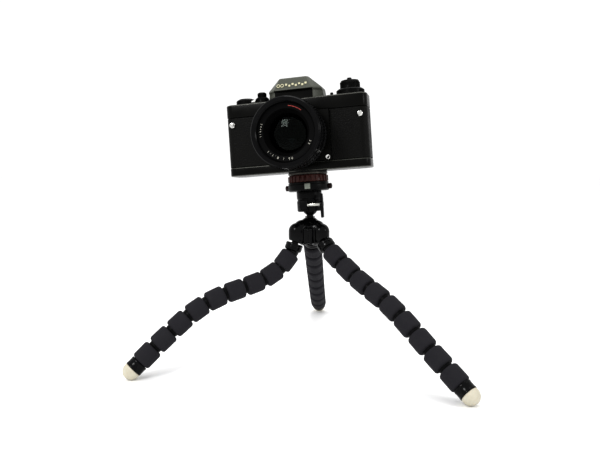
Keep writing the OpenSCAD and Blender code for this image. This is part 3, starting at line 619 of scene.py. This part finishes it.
base_lo, base_hi = head_box("release_base")
ring_lo, ring_hi = head_box("lock_ring")
plate_lo, plate_hi = head_box("release_plate")
pad_lo, pad_hi = head_box("plate_pad")
BASE_R = base_hi.x
base_top = ring_lo.z - 0.1
boss_top = base_hi.z
base_outline = [(0, base_lo.z), (BASE_R - 1.4, base_lo.z), (BASE_R - 0.2, base_lo.z + 1.2),
                (BASE_R - 0.2, base_lo.z + 6.2), (BASE_R - 0.8, base_lo.z + 6.8),
                (BASE_R - 0.8, base_top), (15, base_top), (15, boss_top), (13.5, boss_top),
                (13.5, base_lo.z + 3), (0, base_lo.z + 3)]
base = piece("release_housing", turned(base_outline, 120, 0.3), HEAD, "release_base", HEAD_ANODISED)
button_lo, button_hi = head_box("release_button_right")
BUTTON_Z = (button_lo.z + button_hi.z) / 2
for side in (-1, 1):
    hole = turned([(0, BASE_R - 5.5), (2.8, BASE_R - 5.5), (2.8, BASE_R + 3), (0, BASE_R + 3)], 32, 0)
    across = HEAD @ Matrix.Translation((0, 0, BUTTON_Z)) @ Matrix.Rotation(side * math.pi / 2, 4, "Y")
    cut(base, moved(hole, across))
    name = "left" if side < 0 else "right"
    crown = [(0, BASE_R - 3.2), (2.65, BASE_R - 3.2), (2.65, BASE_R + 2.2)]
    crown += arc(0, BASE_R - 1.2, 4.3, 51, 90, 8)
    piece(f"push_button_{name}", turned(crown, 48, 0.1), across, f"release_button_{name}", BUTTON_BROWN)
label = box_block((0.4, base_lo.y, base_lo.z + 1.6), (5.8, base_lo.y + 2, base_top - 1.6), 0.35)
piece("level_window", label, HEAD, "release_base", PALE_PAINT, replaces=False)

RING_R = ring_hi.x
ring_grip = [(15.2, ring_lo.z), (RING_R - 1.3, ring_lo.z), (RING_R - 0.9, ring_lo.z + 0.5),
             (RING_R - 0.9, ring_hi.z - 0.9), (RING_R - 1.5, ring_hi.z), (15.2, ring_hi.z)]
piece("ribbed_ring", turned(ring_grip, 52, 0, [(RING_R - 0.9, ring_lo.z, ring_hi.z, 0.75)]), HEAD,
      "lock_ring", NYLON_BROWN)
PLATE_R = plate_hi.x
plate_z = pad_lo.z
plate_outline = [(3.3, plate_lo.z + 3), (9, plate_lo.z + 3), (9, plate_lo.z), (13.2, plate_lo.z),
                 (13.2, plate_z - 2), (PLATE_R - 0.4, plate_z - 2), (PLATE_R, plate_z - 1.5),
                 (PLATE_R, plate_z - 0.3),
                 (PLATE_R - 0.3, plate_z), (3.3, plate_z)]
camera_plate = turned(plate_outline, 120, 0)
for face in camera_plate.faces:
    middle = face.calc_center_median()
    if middle.z > plate_z - 1.9 and math.hypot(middle.x, middle.y) > PLATE_R - 0.5:
        face.material_index = 1
piece("camera_plate", camera_plate, HEAD, "release_plate", HEAD_ANODISED, RUBBED_RIM)
pad_outline = [(3.4, pad_lo.z), (pad_hi.x, pad_lo.z), (pad_hi.x, pad_hi.z), (3.4, pad_hi.z)]
piece("grip_pad", turned(pad_outline, 96, 0.2), HEAD, "plate_pad", PAD_RUBBER)


# ---------- camera shells ----------
def cam_box(node):
    return local_box(node, CAMERA)


bottom_lo, bottom_hi = cam_box("bottom_cover")
top_lo, top_hi = cam_box("top_cover")
BODY_W, BODY_T = top_hi.x - top_lo.x, top_hi.y - top_lo.y
CORNER_R = 8
DECK = top_hi.z

# The grey top and bottom rims of the base cover are rubbed wear and a painted highlight.
base_cover = rounded_block(BODY_W, BODY_T, CORNER_R, bottom_lo.z, bottom_hi.z - 0.15, 0.8)
piece("base_cover", base_cover, CAMERA, "bottom_cover", ENAMEL, WORN_AND_HIGHLIT_EDGE)


def upper_cover():
    """Top cover: a shell with a grey rim along its deck, rubbed wear and a painted highlight, and a step line near
    its foot.
    """
    low = cam_box("top_cover")[0].z
    bm = rounded_block(BODY_W, BODY_T, CORNER_R, low + 0.15, DECK, 1.1, 4)
    for face in bm.faces:
        if face.material_index and face.calc_center_median().z < low + 2:
            face.material_index = 0
    return bm


deck_shell = piece("upper_cover", upper_cover(), CAMERA, "top_cover", ENAMEL, WORN_AND_HIGHLIT_EDGE)


def prism_house():
    """Pentaprism housing: face and shoulders in the grey of a painted reflection, over a black recessed apron."""
    lo, hi = cam_box("prism_cover")
    half, top_half = hi.x, 14.5
    height = hi.z - lo.z
    front, back = lo.y, hi.y
    bm = bmesh.new()
    rings = []
    levels = [(lo.z, half, front + 3.0, back, 19, 10), (lo.z + 7.5, half - 0.6, front + 3.0, back, 19, 10),
              (lo.z + 9, half - 0.8, front, back, 19, 10),
              (lo.z + height * 0.5, half - 1.2, front + 0.8, back, 18.2, 9.3),
              (hi.z, top_half, front + 4, hi.y - 8, top_half - 1.5, 3)]
    for z, side, y0, y1, face_half, chamfer in levels:
        face_half = min(face_half, side - 0.5)
        corners = [(-face_half, y0), (face_half, y0), (side, y0 + chamfer), (side, y1 - chamfer * 0.5),
                   (face_half * 0.85, y1), (-face_half * 0.85, y1), (-side, y1 - chamfer * 0.5),
                   (-side, y0 + chamfer)]
        rings.append([bm.verts.new((x, y, z)) for x, y in corners])
    for below, above in zip(rings, rings[1:]):
        for i in range(8):
            j = (i + 1) % 8
            bm.faces.new((below[i], below[j], above[j], above[i]))
    bm.faces.new(rings[-1])
    bm.faces.new(rings[0][::-1])
    bmesh.ops.recalc_face_normals(bm, faces=bm.faces)
    # Everything but the apron takes index 0, the grey painted reflection.
    for face in bm.faces:
        middle = face.calc_center_median()
        apron = middle.z < lo.z + 8.6 and middle.y < front + 9 and abs(middle.x) < 22
        face.material_index = 1 if apron else 0
    edges = [e for e in sharp_edges(bm, 14) if max(v.co.z for v in e.verts) > lo.z + 0.1]
    soften(bm, edges, 0.9, 3)
    return bm


# The housing's first finish is the grey painted reflection; the apron keeps the black enamel.
piece("prism_housing", prism_house(), CAMERA, "prism_cover", PRISM_PAINTED_REFLECTION, ENAMEL)


def ornament():
    """Plain raised marks in a row: a ring and then upright and level bars."""
    lo, hi = cam_box("prism_cover")
    lean = Matrix.Translation((0, lo.y + 1.3, lo.z + 13.4)) @ Matrix.Rotation(math.radians(76), 4, "X")
    parts = []
    for i, x in enumerate([-14.2, -10.4]):
        ring_mark = turned([(1.1, 0), (1.75, 0), (1.75, 0.25), (1.1, 0.25)], 32, 0)
        parts.append(moved(ring_mark, Matrix.Translation((x, 0, 0))))
    for i in range(7):
        x = -6.4 + 3.2 * i
        low, high = (-1.7, 0.35) if i % 2 else (-0.35, 1.7)
        parts.append(box_block((x - 1.05, low, 0), (x + 1.05, high, 0.25), 0.1, 1))
    return moved(joined(*parts), lean)


piece("prism_ornament", ornament(), CAMERA, "prism_cover", CREAM_FILL, replaces=False)

eye_lo, eye_hi = cam_box("eyepiece")
eye_frame = bmesh.new()
rounded_outline(eye_frame, eye_hi.x - eye_lo.x, eye_hi.z - eye_lo.z, 2, 0, 5)
raised(eye_frame, eye_frame.faces[:], eye_hi.y - eye_lo.y)
bmesh.ops.recalc_face_normals(eye_frame, faces=eye_frame.faces)
back_face = max(eye_frame.faces, key=lambda f: f.calc_center_median().z)
bmesh.ops.inset_region(eye_frame, faces=[back_face], thickness=2.0, depth=0)
bmesh.ops.inset_region(eye_frame, faces=[back_face], thickness=0.6, depth=-2.2)
back_face.material_index = 1
soften(eye_frame, sharp_edges(eye_frame, 50), 0.3)
eye_middle = Matrix.Translation((0, eye_lo.y, (eye_lo.z + eye_hi.z) / 2))
eye_place = CAMERA @ eye_middle @ Matrix.Rotation(-math.pi / 2, 4, "X")
piece("eyepiece_frame", eye_frame, eye_place, "eyepiece", ACETAL, GLASS)


# ---------- lens ----------
def lens_box(node):
    """Extent of a lens node along the optical axis, measured forwards from the body's middle."""
    lo, hi = cam_box(node)
    return -hi.y, -lo.y, (hi.x - lo.x) / 2


LENS_Z = (CAMERA.inverted() @ joint_at("focus_turn")).z
LENS = CAMERA @ Matrix.Translation((0, 0, LENS_Z)) @ Matrix.Rotation(math.pi / 2, 4, "X")
barrel_back, barrel_front, flange_r = lens_box("lens_barrel")
CELL_R = 23.7
BARREL_R = flange_r - 2
barrel_outline = [(CELL_R + 0.15, barrel_back), (flange_r, barrel_back), (flange_r, barrel_back + 2.4),
                  (BARREL_R, barrel_back + 2.4), (BARREL_R, barrel_front), (CELL_R + 0.15, barrel_front)]
piece("fixed_barrel", turned(barrel_outline, 128, 0.2), LENS, "lens_barrel", LENS_ANODISED)

ap_back, ap_front, ap_r = lens_box("aperture_ring")
ap_outline = [(BARREL_R + 0.15, ap_back), (ap_r - 1.4, ap_back), (ap_r - 0.6, ap_back + 0.8),
              (ap_r - 0.6, ap_back + 3.4), (ap_r - 1.6, ap_back + 4.2), (ap_r - 1.6, ap_front - 0.2),
              (ap_r - 1.8, ap_front), (BARREL_R + 0.15, ap_front)]
aperture = turned(ap_outline, 120, 0, [(ap_r - 0.6, ap_back + 0.8, ap_back + 3.4, 0.5)])
piece("aperture_ring_body", aperture, LENS, "aperture_ring", LENS_ANODISED)
stops = ["16", "11", "8", "5.6", "4", "2.8", "1.8"]
stop_marks = [on_barrel(numerals(t, 2.4), ap_r - 1.58, 180 + 12 * (i - 3), ap_front - 1.2)
              for i, t in enumerate(stops)]
piece("aperture_numbers", joined(*stop_marks), LENS, "aperture_ring", WHITE_FILL, replaces=False)

fo_back, fo_front, fo_r = lens_box("focus_ring")
fo_outline = [(BARREL_R + 0.15, fo_back), (fo_r - 2.0, fo_back), (fo_r - 1.6, fo_back + 0.5),
              (fo_r - 1.6, fo_back + 5.8), (fo_r - 0.9, fo_back + 6.5), (fo_r - 0.9, fo_front - 1.2),
              (fo_r - 1.3, fo_front - 0.8), (fo_r - 1.3, fo_front), (BARREL_R + 0.15, fo_front)]
focus = turned(fo_outline, 144, 0, [(fo_r - 0.9, fo_back + 6.5, fo_front - 1.2, 0.75)])
piece("focus_ring_body", focus, LENS, "focus_ring", LENS_ANODISED)
distances = ["0.45", "0.6", "0.8", "1", "1.5", "2", "3", "5", "10"]
distance_marks = [on_barrel(numerals(t, 2.3), fo_r - 1.58, 180 + 13 * (i - 4), fo_back + 3.2)
                  for i, t in enumerate(distances)]
piece("distance_numbers", joined(*distance_marks), LENS, "focus_ring", WHITE_FILL, replaces=False)

cell_back, rim_front, rim_r = lens_box("front_cell")
rim_back = fo_front + 0.5
THREAD_R = 27.5
GLASS_R = 18.2
rim_outline = [(15, cell_back), (CELL_R, cell_back), (CELL_R, rim_back), (rim_r - 0.3, rim_back),
               (rim_r, rim_back + 0.4), (rim_r, rim_front - 3.2), (rim_r - 0.7, rim_front - 2.6),
               (rim_r - 0.7, rim_front - 0.9), (rim_r - 1.5, rim_front), (THREAD_R + 0.4, rim_front)]
threads = []
for i in range(5):
    threads += [(THREAD_R, rim_front - 0.5 - 0.75 * i), (THREAD_R + 0.35, rim_front - 0.87 - 0.75 * i)]
baffle = [(THREAD_R, rim_front - 4.5), (26.4, rim_front - 4.5), (26.2, rim_front - 5.0),
          (21.6, rim_front - 5.6)]
steps_in = []
for i in range(4):
    r_in = 21.2 - 0.8 * i
    z_in = rim_front - 6.2 - 1.7 * i
    steps_in += [(r_in, z_in), (r_in - 0.2, z_in - 1.5)]
inner = [(GLASS_R, rim_back - 4), (GLASS_R, rim_back - 9), (15, rim_back - 9)]
cell = turned(rim_outline + threads + baffle + steps_in + inner, 160, 0)
for face in cell.faces:
    middle = face.calc_center_median()
    radius = math.hypot(middle.x, middle.y)
    if middle.z > rim_front - 5.7 and 21.4 < radius < 26.3:
        face.material_index = 1
    elif middle.z > rim_back - 9 and radius < THREAD_R - 0.5:
        face.material_index = 2
piece("front_rim", cell, LENS, "front_cell", LENS_ANODISED, NAME_RING, DULL_BLACK)


def ring_marks(text, start, step, size):
    """Digits set one by one round the name ring, tops outwards."""
    return [on_ring(numerals(c, size), 23.9, start - step * i, rim_front - 5.18)
            for i, c in enumerate(text) if c != " "]


name_marks = ring_marks("1:1.8 / 50", 133, -6.4, 3.0)
name_marks += ring_marks("204815", 68, -5.4, 2.0) + ring_marks("55", 240, -6.4, 2.6)
piece("name_ring_numbers", joined(*name_marks), LENS, "front_cell", WHITE_FILL, replaces=False)
red_marks = [on_ring(box_block((-1.5, -0.35, -0.05), (1.5, 0.35, 0.06), 0.04, 1), 24.0, a, rim_front - 5.2)
             for a in (-12, -20, -28, -36)]
piece("name_ring_red_dashes", joined(*red_marks), LENS, "front_cell", RED_FILL, replaces=False)


def element(r, bulge, z):
    """Biconvex glass element."""
    radius = (r * r + bulge * bulge) / (2 * bulge)
    spread = math.degrees(math.asin(r / radius))
    front = arc(0, z + bulge - radius, radius, 90 - spread, 90, 14)
    back = arc(0, z - bulge + radius, radius, -90, -90 + spread, 14)
    return turned(back + front, 128, 0)


glasses = joined(element(18, 3.5, rim_back - 5), element(14.8, 2.5, barrel_back + 10))
piece("glass_elements", glasses, LENS, "lens_glass", GLASS)


# ---------- camera controls ----------
def at_deck(node):
    """Frame at a control's own axis on the deck."""
    lo, hi = cam_box(node)
    return CAMERA @ Matrix.Translation(((lo.x + hi.x) / 2, (lo.y + hi.y) / 2, 0))


col_lo, col_hi = cam_box("film_speed_collar")
COLLAR_TOP = col_hi.z
REWIND = at_deck("film_speed_collar")
col_r = (col_hi.x - col_lo.x) / 2
speed_outline = [(3.3, DECK + 0.1), (col_r - 0.8, DECK + 0.1), (col_r - 0.8, COLLAR_TOP - 1.4),
                 (col_r - 1.6, COLLAR_TOP - 0.6), (col_r - 2.6, COLLAR_TOP), (3.3, COLLAR_TOP)]
piece("film_speed_ring", turned(speed_outline, 160, 0, [(col_r - 0.8, DECK, COLLAR_TOP - 1.4, 0.35)]), REWIND,
      "film_speed_collar", CONTROL)

knob_lo, knob_hi = cam_box("rewind_knob")
knob_r = (knob_hi.x - knob_lo.x) / 2
KNOB = at_deck("rewind_knob")
knob_outline = [(3.1, knob_lo.z), (knob_r - 0.7, knob_lo.z), (knob_r - 0.7, knob_hi.z - 1.6),
                (knob_r - 1.2, knob_hi.z - 1.1), (knob_r - 1.0, knob_hi.z - 0.6), (knob_r - 1.5, knob_hi.z),
                (3.1, knob_hi.z)]
knob_grip = [(knob_r - 0.7, knob_lo.z, knob_hi.z - 1.6, 0.35)]
rewind = piece("rewind_knob_body", turned(knob_outline, 128, 0, knob_grip),
               KNOB, "rewind_knob", CONTROL)
crank_lo, crank_hi = cam_box("rewind_crank")
slot_room = box_block((-2.8, -1.95, knob_hi.z - 2.6), (12, 1.95, knob_hi.z + 2), 0.1, 1)
cut(rewind, moved(slot_room, KNOB))
CRANK_Z = (CAMERA.inverted() @ joint_at("rewind_crank_fold")).z
crank_arm = box_block((crank_lo.x, -1.65, CRANK_Z), (crank_hi.x, 1.65, CRANK_Z + 1.1), 0.3, 2)
crank_pin = turned([(0, -1.7), (1.05, -1.7), (1.05, 1.7), (0, 1.7)], 24, 0.1)
pin_x = crank_hi.x - 1.1
pin_at = Matrix.Translation((pin_x, 0, CRANK_Z)) @ Matrix.Rotation(math.pi / 2, 4, "X")
grip_at = Matrix.Translation((crank_lo.x + 2.3, 0, 0))
crank_grip = turned([(0, CRANK_Z + 0.2), (1.55, CRANK_Z + 0.2), (1.55, CRANK_Z + 1.2),
                     (2.3, CRANK_Z + 1.5), (2.3, crank_hi.z - 0.6),
                     (1.8, crank_hi.z), (0, crank_hi.z)], 32, 0)
crank = joined(crank_arm, moved(crank_pin, pin_at), moved(crank_grip, grip_at))
crank_y = (crank_lo.y + crank_hi.y) / 2
piece("rewind_crank_arm", crank, CAMERA @ Matrix.Translation((0, crank_y, 0)), "rewind_crank", CONTROL)

dial_lo, dial_hi = cam_box("shutter_dial")
DIAL = at_deck("shutter_dial")
dial_r = (dial_hi.x - dial_lo.x) / 2
dial_outline = [(0, DECK - 4), (2, DECK - 4), (2, DECK + 0.15), (dial_r - 0.7, DECK + 0.15),
                (dial_r - 0.7, DECK + 5.4), (dial_r - 1.3, DECK + 6.4), (dial_r - 3.0, DECK + 6.6),
                (dial_r - 3.0, dial_hi.z - 0.6), (dial_r - 3.6, dial_hi.z), (0, dial_hi.z)]
dial_grips = [(dial_r - 0.7, DECK, DECK + 5.4, 0.5), (dial_r - 3.0, DECK + 6.6, dial_hi.z, 0.45)]
dial = turned(dial_outline, 72, 0, dial_grips)
piece("shutter_speed_dial", dial, DIAL, "shutter_dial", CONTROL)
times = ["1", "2", "4", "8", "15", "30", "60", "125"]
time_marks = [on_ring(numerals(t, 1.5), 2.9, 45 * i, dial_hi.z) for i, t in enumerate(times)]
piece("shutter_speed_numbers", joined(*time_marks), DIAL, "shutter_dial", WHITE_FILL, replaces=False)

lever_lo, lever_hi = cam_box("advance_lever")
ADVANCE_AT = CAMERA.inverted() @ joint_at("advance_lever_swing")
ADVANCE = CAMERA @ Matrix.Translation((ADVANCE_AT.x, ADVANCE_AT.y, 0))
advance_r = ADVANCE_AT.x - lever_lo.x
hub_outline = [(0, DECK - 4), (3, DECK - 4), (3, DECK + 0.15), (advance_r - 0.7, DECK + 0.15),
               (advance_r - 0.7, lever_hi.z - 1.6), (advance_r - 1.5, lever_hi.z - 0.7),
               (advance_r - 2.6, lever_hi.z - 0.5), (advance_r - 2.9, lever_hi.z), (0, lever_hi.z)]
advance = turned(hub_outline, 128, 0, [(advance_r - 0.7, DECK, lever_hi.z - 1.6, 0.35)])


def lever_arm():
    """Cranked arm that hugs the back edge, with a thicker thumb tip."""
    bm = bmesh.new()
    path = [(1, 8.6), (6, 8.8), (12, 8.9), (15, 9.6), (18.4, 11.4), (19.8, 12.2)]
    widths = [3.8, 4.4, 4.6, 4.6, 4.2, 3.4]
    heights = [2.2, 2.2, 2.2, 2.2, 2.2, 2.0]
    rings = []
    for (x, y), w, h in zip(path, widths, heights):
        slant = 0.0 if x < 14 else 0.5
        dx, dy = -math.sin(slant) * w / 2, math.cos(slant) * w / 2
        z0 = DECK + 1.25
        rings.append([bm.verts.new((x + dx, y + dy, z0)), bm.verts.new((x - dx, y - dy, z0)),
                      bm.verts.new((x - dx, y - dy, z0 + h)), bm.verts.new((x + dx, y + dy, z0 + h))])
    for a, b in zip(rings, rings[1:]):
        for i in range(4):
            bm.faces.new((a[i], a[(i + 1) % 4], b[(i + 1) % 4], b[i]))
    bm.faces.new(rings[0][::-1])
    bm.faces.new(rings[-1])
    bmesh.ops.recalc_face_normals(bm, faces=bm.faces)
    soften(bm, sharp_edges(bm, 40), 0.6, 3)
    return bm


piece("film_advance_lever", joined(advance, lever_arm()), ADVANCE, "advance_lever", CONTROL)

button_place = at_deck("shutter_button")
sb_lo, sb_hi = cam_box("shutter_button")
cap_outline = [(0, sb_lo.z), (2.6, sb_lo.z), (2.6, sb_hi.z - 0.9), (2.1, sb_hi.z - 0.2), (1.7, sb_hi.z),
               (1.1, sb_hi.z), (1.1, sb_hi.z - 3), (0, sb_hi.z - 3)]
piece("shutter_release_cap", turned(cap_outline, 48, 0.08), button_place, "shutter_button", CHROME)
button_well = turned([(0, sb_lo.z - 3), (2.7, sb_lo.z - 3), (2.7, DECK + 1), (0, DECK + 1)], 48, 0)
cut(deck_shell, moved(button_well, button_place))
sleeve_outline = [(2.75, DECK - 0.1), (3.4, DECK - 0.1), (3.4, DECK + 0.7), (3.1, DECK + 1.3),
                  (2.75, DECK + 1.3)]
sleeve = turned(sleeve_outline, 48, 0.05)
piece("shutter_release_sleeve", sleeve, button_place, "top_cover", CONTROL, replaces=False)

ms_lo, ms_hi = cam_box("meter_switch")
METER_AT = CAMERA.inverted() @ joint_at("meter_switch_turn")
METER = CAMERA @ Matrix.Translation((METER_AT.x, METER_AT.y, 0))
switch_outline = [(0, ms_lo.z), (1.5, ms_lo.z), (1.5, DECK + 0.15), (3.9, DECK + 0.15), (3.9, DECK + 1.2),
                  (3.3, DECK + 1.8), (0, DECK + 1.8)]
nub = [(0, DECK + 1.6), (1.5, DECK + 1.6), (1.5, ms_hi.z - 0.5), (1.0, ms_hi.z), (0, ms_hi.z)]
switch = joined(turned(switch_outline, 48, 0.1), moved(turned(nub, 32, 0.1), Matrix.Translation((2.2, 0, 0))))
piece("meter_switch_knob", switch, METER, "meter_switch", CONTROL)

lug_lo, lug_hi = cam_box("strap_lugs")
LUG_X, LUG_Z = lug_hi.x - 2.7, (lug_lo.z + lug_hi.z) / 2
stud = [(0, 0.05), (2.7, 0.05), (2.7, 0.9), (2.2, 1.3), (1.6, 1.5), (1.6, 2.6), (2.2, 2.9), (2.3, 3.4),
        (1.9, 4.0), (0, 4.0)]
lugs = [moved(turned(stud, 48, 0.1), Matrix.Translation((side * LUG_X, lug_hi.y, LUG_Z))
              @ Matrix.Rotation(math.pi / 2, 4, "X")) for side in (-1, 1)]
piece("strap_studs", joined(*lugs), CAMERA, "strap_lugs", CHROME)

lr_lo, lr_hi = cam_box("lens_release_button")
release_back = Matrix.Translation(((lr_lo.x + lr_hi.x) / 2, lr_hi.y, (lr_lo.z + lr_hi.z) / 2))
release_place = CAMERA @ release_back @ Matrix.Rotation(math.pi / 2, 4, "X")
length = lr_hi.y - lr_lo.y
release_outline = [(0, 0), (2.4, 0), (2.4, length - 0.7), (1.9, length), (1.2, length - 0.25),
                   (0, length - 0.3)]
piece("lens_release_cap", turned(release_outline, 48, 0.08), release_place, "lens_release_button", CHROME)


# ---------- finishes of the CAD nodes that stay ----------
CAD_FINISH = {
    "camera_body": DULL_BLACK, "leatherette": LEATHERETTE, "back_door": ENAMEL, "pressure_plate": DULL_BLACK,
    "lens_mount": ENAMEL, "mirror": SILVER, "rewind_shaft": TURNED_STEEL, "takeup_spool": ACETAL,
    "ball_seat": LINER, "camera_screw": TURNED_STEEL,
}
for node, finish in CAD_FINISH.items():
    finished(node, finish)


# ---------- stage ----------
def studio():
    """White floor and sky and three soft area lamps; the viewer's camera is made after it."""
    floor = bmesh.new()
    bmesh.ops.create_grid(floor, x_segments=1, y_segments=1, size=6)
    mesh = bpy.data.meshes.new("floor")
    floor.to_mesh(mesh)
    floor.free()
    ground = bpy.data.objects.new("floor", mesh)
    bpy.context.scene.collection.objects.link(ground)
    # Matt white studio paper
    paper = surface("white_studio_paper", "#fbfbfb", "#f9f9f9", 400, 0.9, 0.03)
    mesh.materials.append(paper)
    world = bpy.data.worlds.new("sky")
    world.use_nodes = True
    world.node_tree.nodes["Background"].inputs["Color"].default_value = (1, 1, 1, 1)
    world.node_tree.nodes["Background"].inputs["Strength"].default_value = 1.08
    bpy.context.scene.world = world
    for name, at, aim, size, power in (
            ("key", (-0.55, -0.75, 0.75), (0, 0, 0.2), 0.3, 5),
            ("fill", (0.9, -0.5, 0.5), (0, 0, 0.2), 0.22, 1.6),
            ("top", (0.1, 0.2, 1.1), (0, 0, 0.15), 0.6, 3)):
        light = bpy.data.lights.new(name, "AREA")
        light.size = size
        light.energy = power
        lamp = bpy.data.objects.new(name, light)
        lamp.location = at
        lamp.rotation_euler = (Vector(aim) - Vector(at)).to_track_quat("-Z", "Y").to_euler()
        bpy.context.scene.collection.objects.link(lamp)


studio()
viewer = bpy.data.cameras.new("viewer")
viewer.lens = 38
viewer.sensor_width = 36
viewer_object = bpy.data.objects.new("viewer", viewer)
hub_axis = joint_at("head_pan")
viewer_object.location = (hub_axis.x - 0.0099, hub_axis.y - 0.623, 0.198)
viewer_object.rotation_euler = (math.radians(90 - 6.1), 0, 0)
bpy.context.scene.collection.objects.link(viewer_object)
bpy.context.scene.camera = viewer_object
bpy.context.scene.view_settings.view_transform = "Standard"
bpy.context.scene.view_settings.gamma = 0.8
